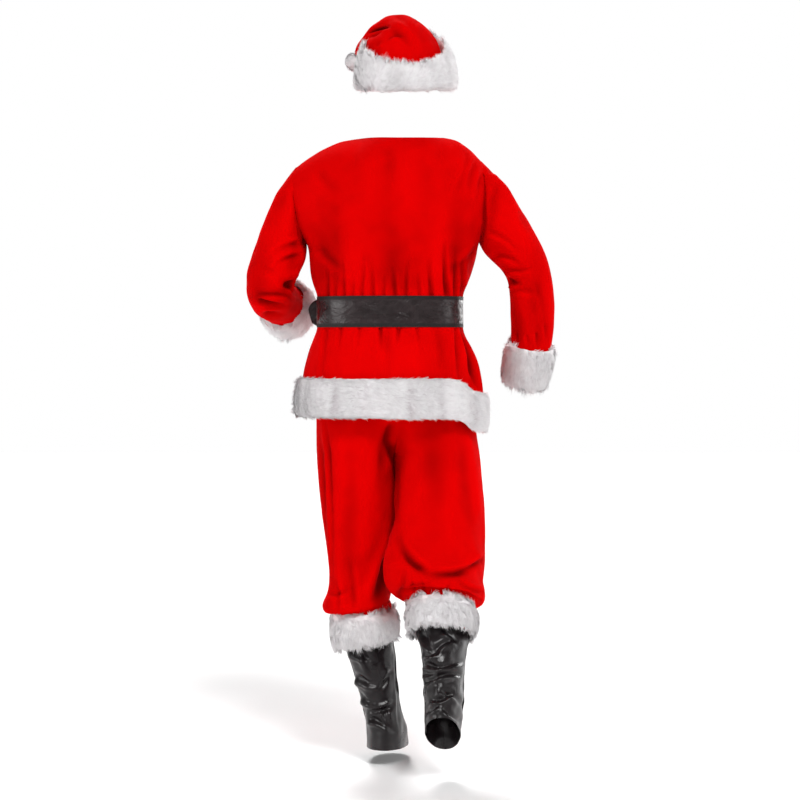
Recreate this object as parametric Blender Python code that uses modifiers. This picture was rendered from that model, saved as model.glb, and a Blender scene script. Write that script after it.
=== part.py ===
"""A worn santa suit: hat, jacket, belt, trousers and boot covers, hollow and open, in a walking pose.

Metres, +Z up. The wearer faces -Y, and the wearer's left is +X. Every table gives heights above the floor
that the wearer walks on. One empty lowers the suit, so that the origin is at the middle of the neck opening.
"""

import math

import bmesh
import bpy
import numpy as np

NECK = (-0.020, -0.015, 1.500)  # middle of the neck opening, above the floor
CLOTH = 0.0020                  # plush wall
VINYL = 0.0014                  # boot cover wall
SEAM = 0.0005                   # half the gap between two pieces at a seam
CLEAR = 0.0008                  # gap under what lies on a panel
FUR = 0.016                     # how far fur stands off its cloth
HEM_FUR_DROP = 0.038            # how much lower the hem hangs at the wearer's right

BACK_COLUMNS = 36
FRONT_COLUMNS = 12
ARMHOLE_ROWS = 8
SLEEVE_ROWS = 15
LEG_COLUMNS = 10                # across each trouser panel
BOOT_COLUMNS = 9
BOOT_ROWS = 9
HAT_COLUMNS = 12
HAT_ROWS = 12

OVERLAP = 0.030                 # left front over the right one at the centre
BELT_THICK = 0.003
BELT_CLEAR = 0.0008             # the belt stands this far outside the jacket
BELT_BOTTOM, BELT_TOP = 1.068, 1.141
WAISTBAND_BOTTOM, WAISTBAND_TOP = 1.086, 1.122
CROTCH = 0.755
WAIST_CLEAR = 0.0010            # the waistband stands this far inside the jacket
SEAT = 0.900                    # where the seat seam starts to turn under


def table(columns, *rows):
    """Rows of numbers as one array for each named column."""
    return {name: np.array(values, float) for name, values in zip(columns, zip(*rows))}


def smooth(data, column, at, key="h"):
    """A table's column read along a smooth curve through its rows, without overshoot."""
    order = np.argsort(data[key])
    x, y = data[key][order], data[column][order]
    slope = np.diff(y) / np.diff(x)
    tangent = np.zeros_like(y)
    same_way = slope[:-1] * slope[1:] > 0
    tangent[1:-1][same_way] = 2 * (slope[:-1] * slope[1:] / (slope[:-1] + slope[1:] + 1e-12))[same_way]
    tangent[0], tangent[-1] = slope[0], slope[-1]
    at = np.clip(np.asarray(at, float), x[0], x[-1])
    i = np.clip(np.searchsorted(x, at, side="right") - 1, 0, len(x) - 2)
    step = x[i + 1] - x[i]
    t = (at - x[i]) / step
    return (
        (2 * t**3 - 3 * t**2 + 1) * y[i]
        + (t**3 - 2 * t**2 + t) * step * tangent[i]
        + (3 * t**2 - 2 * t**3) * y[i + 1]
        + (t**3 - t**2) * step * tangent[i + 1]
    )


# The jacket's sections: how far each side, the back and the front stand from x = 0 and y = 0.
COAT = table(
    ("h", "left", "right", "back", "front"),
    (0.8480, 0.236, 0.210, 0.176, 0.168),
    (0.9460, 0.227, 0.213, 0.168, 0.162),
    (1.0000, 0.214, 0.203, 0.154, 0.150),
    (1.0350, 0.203, 0.184, 0.140, 0.139),
    (1.0520, 0.194, 0.170, 0.131, 0.133),
    (1.0660, 0.188, 0.164, 0.126, 0.129),
    (1.1430, 0.188, 0.164, 0.126, 0.129),
    (1.1520, 0.192, 0.168, 0.129, 0.133),
    (1.1700, 0.201, 0.177, 0.137, 0.142),
    (1.2100, 0.209, 0.191, 0.143, 0.149),
    (1.2650, 0.2105, 0.205, 0.143, 0.148),
)
COAT_SQUARE = 2.35              # 2 is an ellipse, and more is squarer

# Rows of the jacket below the armholes. The first two bound the hem fur.
COAT_HEIGHTS = (0.848, 0.946, 0.985, 1.018, 1.047, 1.066, 1.143, 1.160, 1.193, 1.230, 1.265)

# Points of the armholes and the shoulder line.
POINTS = {
    "left": {
        "under": (0.2105, 0.000, 1.265),
        "armhole_back": (0.244, 0.062, 1.345),
        "armhole_front": (0.224, -0.064, 1.345),
        "shoulder": (0.240, -0.006, 1.460),
        "neck": (0.062, -0.015, 1.534),
    },
    "right": {
        "under": (-0.205, 0.000, 1.265),
        "armhole_back": (-0.216, 0.062, 1.360),
        "armhole_front": (-0.200, -0.064, 1.355),
        "shoulder": (-0.212, -0.006, 1.474),
        "neck": (-0.102, -0.015, 1.534),
    },
}
NECK_BACK = (-0.020, 0.048, 1.528)
NECK_FRONT = (-0.020, -0.092, 1.452)
BACK_BULGE = 0.010              # shoulder blades stand this far off a plain round back
CHEST_BULGE = 0.006
SHOULDER_ROUND = 0.018          # how far the shoulder seam rises off a straight line
SHOULDER_SEAM = 0.0012          # half the gap along the shoulder seams, where the walls lean together
INNER_SEAM = 0.0010             # the same along the legs' inner seams

# Gathers round the belt: place round the body in degrees, and how deep above and below it.
GATHERS = table(
    ("turn", "above", "below"),
    (28, 0.0040, 0.0030), (47, 0.0050, 0.0020), (60, 0.0055, 0.0020), (70, 0.0040, 0.0030),
    (80, 0.0065, 0.0060), (92, 0.0060, 0.0065), (105, 0.0050, 0.0020), (119, 0.0060, 0.0030),
    (134, 0.0065, 0.0035), (150, 0.0070, 0.0055),
    (205, 0.0050, 0.0040), (225, 0.0055, 0.0045), (245, 0.0045, 0.0040), (290, 0.0050, 0.0045),
    (312, 0.0055, 0.0040), (335, 0.0045, 0.0045),
)
GATHER_WIDTH = 3.4              # degrees
GATHER_ABOVE, GATHER_BELOW = 0.050, 0.034

# The large folds of the skirt: place at the belt and at the hem, width in degrees, and depth at the hem.
SKIRT_FOLDS = table(
    ("top", "bottom", "width", "depth"),
    (22, 24, 9, -0.006), (64, 62, 12, -0.004), (97, 95, 8, -0.007), (128, 126, 12, 0.004),
    (154, 148, 9, -0.011), (168, 165, 9, 0.010), (215, 212, 12, -0.008), (240, 242, 12, 0.006),
    (298, 296, 12, 0.006), (325, 328, 12, -0.007),
)

# The arms: where each sleeve's middle runs, and how wide it is.
SLEEVES = {
    "left": table(
        ("v", "x", "y", "h", "radius"),
        (0.00, 0.215, 0.000, 1.365, 0.100),
        (0.20, 0.256, 0.008, 1.302, 0.074),
        (0.40, 0.289, 0.024, 1.225, 0.064),
        (0.51, 0.303, 0.028, 1.187, 0.063),
        (0.62, 0.306, -0.004, 1.154, 0.061),
        (0.74, 0.300, -0.070, 1.138, 0.059),
        (0.86, 0.290, -0.140, 1.134, 0.0565),
        (1.00, 0.264, -0.222, 1.105, 0.0610),
    ),
    "right": table(
        ("v", "x", "y", "h", "radius"),
        (0.00, -0.190, 0.000, 1.375, 0.100),
        (0.20, -0.238, 0.006, 1.322, 0.080),
        (0.39, -0.301, 0.010, 1.256, 0.059),
        (0.51, -0.329, 0.006, 1.195, 0.055),
        (0.62, -0.337, -0.004, 1.135, 0.056),
        (0.76, -0.338, -0.020, 1.070, 0.055),
        (0.87, -0.336, -0.036, 1.020, 0.051),
        (1.00, -0.320, -0.062, 0.928, 0.049),
    ),
}
SLEEVE_FUR_FROM = {"left": 0.885, "right": 0.855}   # where along the sleeve its fur cuff begins
SLEEVE_ROUND_FROM = 0.20        # where along the sleeve its sections turn round
BODY_CLEAR = 0.005              # how far a sleeve stands outside its armhole
SLEEVE_FOLDS = {
    "left": table(
        ("u0", "v0", "u1", "v1", "width", "depth"),
        (0.05, 0.52, 0.30, 0.56, 0.012, -0.011),
        (0.95, 0.60, 0.20, 0.66, 0.010, -0.009),
        (0.10, 0.36, 0.42, 0.44, 0.014, -0.006),
        (0.45, 0.62, 0.25, 0.72, 0.013, -0.006),
        (0.62, 0.50, 0.90, 0.62, 0.014, -0.007),
        (0.30, 0.16, 0.52, 0.22, 0.014, -0.005),
    ),
    "right": table(
        ("u0", "v0", "u1", "v1", "width", "depth"),
        (0.02, 0.40, 0.32, 0.46, 0.012, -0.010),
        (0.96, 0.47, 0.22, 0.53, 0.011, -0.010),
        (0.40, 0.60, 0.12, 0.68, 0.014, -0.006),
        (0.50, 0.30, 0.30, 0.42, 0.015, -0.005),
        (0.60, 0.52, 0.88, 0.60, 0.014, -0.007),
        (0.42, 0.12, 0.60, 0.16, 0.014, -0.005),
    ),
}

# The trousers above the crotch, as one hollow, with the same columns as the jacket.
HIPS = table(
    ("h", "left", "right", "back", "front"),
    (0.755, 0.192, 0.208, 0.130, 0.122),
    (0.860, 0.193, 0.192, 0.138, 0.128),
    (0.960, 0.190, 0.180, 0.133, 0.124),
    (1.040, 0.182, 0.160, 0.120, 0.116),
    (1.086, 0.1850, 0.1600, 0.1220, 0.1200),
)
HIPS_SQUARE = 2.1

# The legs below the crotch. A slope is how much a section rises for each metre towards +X or +Y.
LEGS = {
    "left": table(
        ("v", "h", "outer", "inner", "back", "front", "rise_x", "rise_y"),
        (0.00, 0.755, 0.1920, 0.0008, 0.130, -0.122, 0.00, 0.00),
        (0.20, 0.660, 0.1850, 0.0010, 0.104, -0.108, 0.00, 0.00),
        (0.42, 0.560, 0.1720, 0.0030, 0.089, -0.104, 0.00, 0.00),
        (0.62, 0.475, 0.1600, 0.0130, 0.084, -0.102, -0.04, 0.00),
        (0.72, 0.437, 0.1590, 0.0130, 0.090, -0.103, -0.08, -0.03),
        (0.82, 0.402, 0.1830, 0.0090, 0.098, -0.108, -0.12, -0.06),
        (0.90, 0.377, 0.1710, 0.0180, 0.088, -0.098, -0.14, -0.06),
        (0.95, 0.396, 0.1480, 0.0080, 0.066, -0.078, -0.16, -0.04),
        (1.00, 0.296, 0.1440, 0.0020, 0.068, -0.078, -0.18, -0.02),
    ),
    "right": table(
        ("v", "h", "outer", "inner", "back", "front", "rise_x", "rise_y"),
        (0.00, 0.755, -0.2080, -0.0008, 0.130, -0.122, 0.00, 0.00),
        (0.20, 0.665, -0.2160, -0.0010, 0.112, -0.125, 0.00, 0.04),
        (0.40, 0.590, -0.2220, -0.0010, 0.118, -0.125, 0.00, 0.12),
        (0.56, 0.522, -0.2190, -0.0010, 0.146, -0.115, 0.03, 0.24),
        (0.68, 0.466, -0.2080, 0.0080, 0.166, -0.090, 0.04, 0.36),
        (0.80, 0.434, -0.2170, 0.0100, 0.176, -0.056, 0.04, 0.44),
        (0.89, 0.402, -0.2120, 0.0000, 0.176, -0.030, 0.04, 0.38),
        (0.95, 0.428, -0.1900, -0.0350, 0.136, 0.004, 0.04, 0.66),
        (1.00, 0.335, -0.1860, -0.0390, 0.180, 0.044, 0.04, 0.46),
    ),
}
LEG_SQUARE = 2.15
SHIN_TWIST = 0.10
# How each leg's sections lean over the other leg on the way down, so that no light shows between the legs.
LEG_TWIST = {
    "left": ((0.0, 0.25, 0.70, 0.90), (0.0, 0.22, 0.22, SHIN_TWIST)),
    "right": ((0.0, 0.25, 0.42, 0.62, 0.86, 0.93), (0.0, 0.22, 0.22, 0.48, 0.48, SHIN_TWIST)),
}
# How far down the gathered edge the fur cuff starts, at the outer and the inner side.
LEG_FUR_TOP = {"left": (0.10, 0.32), "right": (0.38, 0.36)}
LEG_FOLDS = {
    "left": table(
        ("u0", "v0", "u1", "v1", "width", "depth"),
        (0.04, 0.54, 0.18, 0.80, 0.022, -0.020),
        (0.50, 0.78, 0.40, 0.81, 0.014, -0.007),
        (0.30, 0.30, 0.32, 0.66, 0.030, -0.006),
        (0.07, 0.42, 0.07, 0.55, 0.020, -0.007),
        (0.72, 0.40, 0.80, 0.66, 0.028, -0.006),
        (0.62, 0.78, 0.85, 0.81, 0.018, -0.007),
    ),
    "right": table(
        ("u0", "v0", "u1", "v1", "width", "depth"),
        (0.05, 0.62, 0.20, 0.76, 0.018, -0.020),
        (0.20, 0.76, 0.47, 0.68, 0.018, -0.020),
        (0.08, 0.56, 0.44, 0.62, 0.034, 0.010),
        (0.07, 0.42, 0.07, 0.55, 0.020, 0.006),
        (0.04, 0.82, 0.44, 0.82, 0.014, 0.007),
        (0.34, 0.36, 0.45, 0.56, 0.020, 0.006),
        (0.28, 0.36, 0.38, 0.54, 0.022, -0.006),
        (0.70, 0.45, 0.62, 0.66, 0.026, -0.006),
    ),
}

# The boot covers: sections from the top down.
BOOTS = {
    "left": table(
        ("v", "h", "outer", "inner", "back", "front", "rise_x", "rise_y"),
        (0.00, 0.326, 0.1365, 0.0130, 0.060, -0.070, -0.18, -0.02),
        (0.20, 0.265, 0.1120, -0.0010, 0.058, -0.068, -0.14, 0.00),
        (0.40, 0.200, 0.0930, -0.0050, 0.050, -0.064, -0.06, 0.00),
        (0.60, 0.140, 0.0800, -0.0120, 0.046, -0.066, -0.02, 0.02),
        (0.78, 0.092, 0.0700, -0.0260, 0.048, -0.092, 0.00, 0.12),
        (0.90, 0.060, 0.0690, -0.0320, 0.052, -0.126, 0.00, 0.10),
        (1.00, 0.036, 0.0700, -0.0330, 0.053, -0.150, 0.00, 0.05),
    ),
    "right": table(
        ("v", "h", "outer", "inner", "back", "front", "rise_x", "rise_y"),
        (0.00, 0.3290, -0.1790, -0.0520, 0.154, 0.050, 0.08, 0.76),
        (0.20, 0.2965, -0.1710, -0.0610, 0.182, 0.075, 0.06, 0.72),
        (0.40, 0.2565, -0.1660, -0.0660, 0.212, 0.104, 0.04, 0.68),
        (0.58, 0.2160, -0.1630, -0.0680, 0.238, 0.128, 0.02, 0.65),
        (0.76, 0.1715, -0.1610, -0.0690, 0.268, 0.140, 0.00, 0.68),
        (0.90, 0.1430, -0.1570, -0.0690, 0.288, 0.148, 0.00, 0.66),
        (1.00, 0.1150, -0.1540, -0.0700, 0.299, 0.146, 0.00, 0.68),
    ),
}
BOOT_SQUARE = 2.2
BOOT_FOLDS = {
    "left": table(
        ("u0", "v0", "u1", "v1", "width", "depth"),
        (0.25, 0.22, 0.70, 0.28, 0.010, -0.006),
        (0.30, 0.44, 0.80, 0.40, 0.010, -0.007),
        (0.20, 0.62, 0.75, 0.60, 0.009, -0.007),
        (0.60, 0.08, 0.45, 0.34, 0.010, 0.004),
        (0.70, 0.50, 0.40, 0.74, 0.010, 0.004),
    ),
    "right": table(
        ("u0", "v0", "u1", "v1", "width", "depth"),
        (0.15, 0.28, 0.85, 0.30, 0.010, -0.010),
        (0.20, 0.50, 0.80, 0.48, 0.010, -0.009),
        (0.25, 0.68, 0.85, 0.72, 0.009, -0.008),
        (0.80, 0.10, 0.45, 0.24, 0.011, 0.005),
        (0.25, 0.38, 0.70, 0.58, 0.011, 0.005),
    ),
}

# The hat: its middle line from the brow to the folded tip, its half width and half depth, and its tilt.
HAT = table(
    ("v", "x", "y", "h", "wide", "deep", "lean", "tilt", "roll"),
    (0.00, -0.0240, 0.004, 1.6440, 0.1110, 0.119, 0, 9, 0.02),
    (0.16, -0.0200, 0.006, 1.7560, 0.0920, 0.105, 0, 31, -0.05),
    (0.34, -0.0120, 0.004, 1.7840, 0.0750, 0.084, 8, 25, -0.03),
    (0.50, -0.0080, -0.004, 1.7990, 0.0530, 0.062, 30, 22, 0.00),
    (0.62, 0.0060, -0.020, 1.8060, 0.0380, 0.046, 58, 20, 0.00),
    (0.74, 0.0340, -0.050, 1.8000, 0.0250, 0.031, 84, 20, 0.00),
    (0.86, 0.0700, -0.086, 1.7810, 0.0155, 0.020, 108, 20, 0.00),
    (1.00, 0.0920, -0.112, 1.7520, 0.0090, 0.012, 126, 20, 0.00),
)
HAT_TIP_TURN = 38               # degrees from +X towards -Y that the tip leans
HAT_DIP = 0.050                 # how far the band's upper edge dips under the tail
HAT_DIP_AT = -46                # degrees from +X where it dips
HAT_DIP_WIDTH = 24              # degrees
HAT_FUR_TO = 0.16
POMPOM_RADIUS = 0.0260
POMPOM_LOCK = 0.0070
HAT_FOLDS = table(
    ("u0", "v0", "u1", "v1", "width", "depth"),
    (0.05, 0.40, 0.30, 0.52, 0.010, -0.012),
    (0.60, 0.22, 0.85, 0.40, 0.016, -0.004),
    (0.40, 0.20, 0.42, 0.44, 0.018, -0.004),
)

# The belt's tongue leaves the buckle towards the wearer's left and ends in a round tip.
TONGUE_REACH = 0.030            # how far the tip stands past the jacket's side
BUCKLE = (0.088, 0.096, 0.005)  # width, height and thickness of its frame
BUCKLE_BAR = 0.011

COLOURS = {
    "plush": ((0.74, 0.004, 0.006, 1), 0.85, 0.0),
    "fur": ((0.82, 0.79, 0.80, 1), 0.95, 0.0),
    "leather": ((0.020, 0.014, 0.014, 1), 0.38, 0.0),
    "vinyl": ((0.026, 0.020, 0.022, 1), 0.34, 0.0),
    "brass": ((0.72, 0.50, 0.20, 1), 0.30, 1.0),
}


def clear_scene():
    for item in list(bpy.data.objects):
        bpy.data.objects.remove(item, do_unlink=True)


def make_material(name):
    colour, roughness, metallic = COLOURS[name]
    material = bpy.data.materials.new(name)
    material.use_nodes = True
    shader = material.node_tree.nodes["Principled BSDF"]
    shader.inputs["Base Color"].default_value = colour
    shader.inputs["Roughness"].default_value = roughness
    shader.inputs["Metallic"].default_value = metallic
    material.diffuse_color = colour
    return material


def add_object(name, mesh, material):
    mesh.materials.append(MATERIALS[material])
    mesh.shade_smooth()
    piece = bpy.data.objects.new(name, mesh)
    piece.parent = STAND
    SUIT.objects.link(piece)
    return piece


def grid_faces(rows, columns, closed):
    """Quads of a grid of points, row by row. A closed grid's last column joins its first."""
    faces = []
    for row in range(rows - 1):
        for column in range(columns if closed else columns - 1):
            right = (column + 1) % columns
            faces.append((
                row * columns + column, row * columns + right,
                (row + 1) * columns + right, (row + 1) * columns + column,
            ))
    return faces


def add_shell(name, points, material, thickness=CLOTH, closed=False):
    """An open surface of cloth, its wall made inwards. The points run so that its faces look out."""
    rows, columns = points.shape[:2]
    mesh = bpy.data.meshes.new(name)
    mesh.from_pydata(points.reshape(-1, 3).tolist(), [], grid_faces(rows, columns, closed))
    piece = add_object(name, mesh, material)
    wall = piece.modifiers.new("wall", "SOLIDIFY")
    wall.thickness = thickness
    wall.offset = -1
    return piece


def add_loft(name, rings, material, closed):
    """A solid through closed profiles that follow each other, either round a loop or with flat ends."""
    count, size = rings.shape[:2]
    faces = []
    for ring in range(count if closed else count - 1):
        after = (ring + 1) % count
        for point in range(size):
            beside = (point + 1) % size
            faces.append((ring * size + point, ring * size + beside, after * size + beside, after * size + point))
    if not closed:
        faces.append(tuple(range(size))[::-1])
        faces.append(tuple((count - 1) * size + point for point in range(size)))
    mesh = bpy.data.meshes.new(name)
    mesh.from_pydata(rings.reshape(-1, 3).tolist(), [], faces)
    face_outwards(mesh)
    return add_object(name, mesh, material)


def face_outwards(mesh):
    shape = bmesh.new()
    shape.from_mesh(mesh)
    bmesh.ops.recalc_face_normals(shape, faces=shape.faces)
    shape.to_mesh(mesh)
    shape.free()


def unit(vectors):
    return vectors / np.maximum(np.linalg.norm(vectors, axis=-1, keepdims=True), 1e-9)


def normals_of(points, closed):
    """Outward normals of a grid whose columns run anticlockwise seen from above and rows run up."""
    if closed:
        across = np.roll(points, -1, axis=1) - np.roll(points, 1, axis=1)
    else:
        across = np.gradient(points, axis=1)
    return unit(np.cross(across, np.gradient(points, axis=0)))


def trim(points, left=0.0, right=0.0, bottom=0.0, top=0.0):
    """The grid with its edges drawn back along the surface, to leave seam gaps."""
    out = points.copy()
    for amount, edge, inner in ((left, np.s_[:, 0], np.s_[:, 1]), (right, np.s_[:, -1], np.s_[:, -2]),
                                (bottom, np.s_[0], np.s_[1]), (top, np.s_[-1], np.s_[-2])):
        out[edge] = out[edge] + amount * unit(out[inner] - out[edge])
    return out


def fold(points, folds, closed):
    """The grid pushed along its normals by soft troughs and ridges, each between two places of the grid."""
    rows, columns = points.shape[:2]
    last = columns if closed else columns - 1
    moved = np.zeros((rows, columns))
    for i in range(len(folds["u0"])):
        row = {name: values[i] for name, values in folds.items()}
        ends = []
        for u, v in ((row["u0"], row["v0"]), (row["u1"], row["v1"])):
            ends.append(points[round(v * (rows - 1)), round(u * last) % columns])
        along = ends[1] - ends[0]
        t = np.clip((points - ends[0]) @ along / (along @ along), 0, 1)
        away = np.linalg.norm(points - (ends[0] + t[..., None] * along), axis=-1)
        moved += row["depth"] * np.exp(-((away / row["width"]) ** 2))
    return points + normals_of(points, closed) * moved[..., None]


def section(data, heights, turn, square):
    """Points round a hollow. Turn 0 is the wearer's left side, 90 the back, 180 the right, 270 the front."""
    cos, sin = np.cos(np.radians(turn)), np.sin(np.radians(turn))
    power = 2 / square
    x = np.sign(cos) * np.abs(cos) ** power
    y = np.sign(sin) * np.abs(sin) ** power
    left, right, back, front = (smooth(data, name, heights) for name in ("left", "right", "back", "front"))
    height = np.broadcast_to(np.asarray(heights, float), np.broadcast(x, left).shape)
    return np.stack([x * np.where(x > 0, left, right), y * np.where(y > 0, back, front), height], axis=-1)


def band_profile(thickness, clear):
    """Across a fur band: share of its width, and how far it stands off its cloth."""
    return ((0.02, clear), (0.0, 0.45 * thickness), (0.16, 0.92 * thickness), (0.5, thickness),
            (0.84, 0.92 * thickness), (1.0, 0.45 * thickness), (0.98, clear))


def add_fur(name, low, high, low_normal, high_normal, thickness=FUR, closed=False, waves=0.0, clear=CLEAR,
            fuller=0.0):
    """A fur band on the stretch of cloth between two rows of points, made from those points moved out.

    Fuller is how much thicker it is, as a share, at each place of the rows.
    """
    count = len(low)
    swell = (1 + waves * np.sin(np.arange(count) * 2.4) + fuller)[:, None]
    profile = []
    for share, out in band_profile(thickness, clear):
        place = low + (high - low) * share
        normal = unit(low_normal + (high_normal - low_normal) * share)
        profile.append(place + normal * (out * swell if out > clear else out))
    return add_loft(name, np.stack(profile, axis=1), "fur", closed)


# ---------------------------------------------------------------- jacket

def gathered(points, turn, heights):
    """The jacket's lower part drawn in by the belt, with the skirt's large folds below it."""
    turns = np.broadcast_to(turn, points.shape[:2])
    above = np.clip(heights - BELT_TOP - 0.004, 0, None)
    below = np.clip(BELT_BOTTOM - 0.004 - heights, 0, None)
    moved = np.zeros(points.shape[:2])
    for place, deep, low in zip(GATHERS["turn"], GATHERS["above"], GATHERS["below"]):
        away = np.exp(-(((turns - place) / GATHER_WIDTH) ** 2))
        moved -= away * deep * (above > 0) * np.exp(-((above / GATHER_ABOVE) ** 2))
        moved -= away * low * (below > 0) * np.exp(-((below / GATHER_BELOW) ** 2))
    share = np.clip(below / (BELT_BOTTOM - COAT_HEIGHTS[1]), 0, 1)
    for i, top in enumerate(SKIRT_FOLDS["top"]):
        place = top + (SKIRT_FOLDS["bottom"][i] - top) * share
        away = np.exp(-(((turns - place) / SKIRT_FOLDS["width"][i]) ** 2))
        moved += SKIRT_FOLDS["depth"][i] * away * share
    out = points + normals_of(points, closed=False) * moved[..., None]
    side = np.clip((turns - 120) / 45, 0, 1) * np.clip((250 - turns) / 60, 0, 1)
    out[..., 2] -= HEM_FUR_DROP * side * side * (3 - 2 * side) * np.clip(share, 0, 1)
    return out


def coat_lower(turn):
    heights = np.array(COAT_HEIGHTS)[:, None]
    return gathered(section(COAT, heights, turn[None, :], COAT_SQUARE), turn[None, :], heights)


def shoulder_line(start, neck, middle, neck_end, end, count, neck_share):
    """From one shoulder along its seam, round the neck, and along the other seam."""
    at = np.linspace(0, 1, count)
    line = np.zeros((count, 3))
    crown = np.array([0.0, 0.0, SHOULDER_ROUND])
    start, neck, middle, neck_end, end = map(np.array, (start, neck, middle, neck_end, end))
    first = (1 - neck_share) / 2
    for i, t in enumerate(at):
        if t < first:
            line[i] = start + (neck - start) * (t / first) + crown * math.sin(math.pi * t / first)
        elif t > 1 - first:
            line[i] = neck_end + (end - neck_end) * ((t - 1 + first) / first)
            line[i] += crown * math.sin(math.pi * (1 - t) / first)
        else:
            turn = math.pi * (t - first) / neck_share
            side = neck + (neck_end - neck) * (1 - math.cos(turn)) / 2
            line[i] = side + (middle - (neck + neck_end) / 2) * math.sin(turn)
    return line


def rise(rows):
    """How far up the yoke each row is. The rows crowd towards the shoulders, where the cloth turns over."""
    return np.sin(np.linspace(0, math.pi / 2, rows))


def yoke(bottom, top, first, last, bulge):
    """A patch between four edges that rounds over at the top, swelling out a little half way."""
    rows, columns = len(first), len(bottom)
    u = np.linspace(0, 1, columns)[None, :, None]
    turn = np.linspace(0, math.pi / 2, rows)[:, None]
    up = np.concatenate([turn * 2 / math.pi, 1 - np.cos(turn), np.sin(turn)], axis=1)[:, None]
    near, far = (1 - u) ** 3, u**3
    patch = (
        (1 - up) * bottom[None] + up * top[None]
        + near * (first[:, None] - (1 - up) * bottom[0] - up * top[0])
        + far * (last[:, None] - (1 - up) * bottom[-1] - up * top[-1])
    )
    patch[..., 1] += bulge * np.sin(2 * turn) * np.sin(math.pi * u[..., 0])
    return patch


def armhole(side, part, rows):
    """Half of a round armhole, from under the arm to the shoulder, at the yoke's rows."""
    spots = {name: np.array(place) for name, place in POINTS[side].items()}
    up = rise(rows)[:, None]
    straight = spots["under"] * (1 - up) + spots["shoulder"] * up
    reach = spots["armhole_" + part] - (spots["under"] + spots["shoulder"]) / 2
    reach[2] = 0.0
    return straight + reach * np.sin(np.arccos(1 - 2 * up))


def make_coat():
    """The back and the two fronts, and the fur along their hems. Gives the armholes' points."""
    rows = ARMHOLE_ROWS + 1
    back_turn = np.linspace(0, 180, BACK_COLUMNS + 1)
    lower = coat_lower(back_turn)
    left, right = armhole("left", "back", rows), armhole("right", "back", rows)
    top = shoulder_line(POINTS["left"]["shoulder"], POINTS["left"]["neck"], NECK_BACK,
                        POINTS["right"]["neck"], POINTS["right"]["shoulder"], BACK_COLUMNS + 1, 0.36)
    upper = yoke(lower[-1], top, left, right, BACK_BULGE)
    back = np.concatenate([lower[:-1], upper])
    add_shell("jacket_back", trim(back, SEAM, SEAM, top=SHOULDER_SEAM), "plush")
    normals = normals_of(lower, False)
    hem = trim(lower[:2], SEAM, SEAM)
    add_fur("hem_fur_back", hem[0], hem[1], normals[0], normals[1], waves=0.05)

    front = make_fronts(rows)
    loops = {}
    for side, line in (("left", left), ("right", right)):
        loops[side] = np.concatenate([line, front[side][::-1][1:-1]])
    return loops


def make_fronts(rows):
    """Both fronts, the left one over the right one, with their hem fur. Gives the front armholes."""
    half_lap = OVERLAP / 2
    top = shoulder_line(POINTS["right"]["shoulder"], POINTS["right"]["neck"], NECK_FRONT,
                        POINTS["left"]["neck"], POINTS["left"]["shoulder"], 2 * FRONT_COLUMNS + 1, 0.50)
    under = coat_lower(np.linspace(180, 360, 2 * FRONT_COLUMNS + 1))
    right, left = armhole("right", "front", rows), armhole("left", "front", rows)
    upper = yoke(under[-1], top, right, left, -CHEST_BULGE)
    whole = np.concatenate([under[:-1], upper])
    middle = FRONT_COLUMNS
    step = np.linalg.norm(whole[:, middle + 1] - whole[:, middle], axis=-1)[:, None]
    ahead = half_lap / np.maximum(step, half_lap)

    outer = whole[:, middle:].copy()
    outer[:, 0] += (whole[:, middle - 1] - whole[:, middle]) * ahead
    add_shell("jacket_front_left", trim(outer, 0, SEAM, top=SHOULDER_SEAM), "plush")

    inner = whole[:, :middle + 1].copy()
    inner[:, -1] += (whole[:, middle + 1] - whole[:, middle]) * ahead
    normals = normals_of(whole, False)
    tuck = CLOTH + 2 * SEAM
    inner[:, -1] -= normals[:, middle] * tuck
    inner[:, -2] -= normals[:, middle - 1] * tuck
    inner[:, -3] -= normals[:, middle - 2] * tuck * 0.5
    add_shell("jacket_front_right", trim(inner, SEAM, 0, top=SHOULDER_SEAM), "plush")

    hem_left = trim(outer[:2], 0, SEAM)
    hem_normals = normals[:2, middle:]
    add_fur("hem_fur_front_left", hem_left[0], hem_left[1], hem_normals[0], hem_normals[1], waves=0.05)
    hem_right = trim(inner[:2, :-1], SEAM, 0)
    hem_right[:, -1] = inner[:2, -2] + (outer[:2, 0] - inner[:2, -2]) * 0.9
    hem_right[:, -1] -= normals[:2, middle - 1] * tuck
    right_normals = normals[:2, :middle]
    add_fur("hem_fur_front_right", hem_right[0], hem_right[1], right_normals[0], right_normals[1], waves=0.05)
    return {"right": right, "left": left}


# ---------------------------------------------------------------- sleeves

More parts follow.
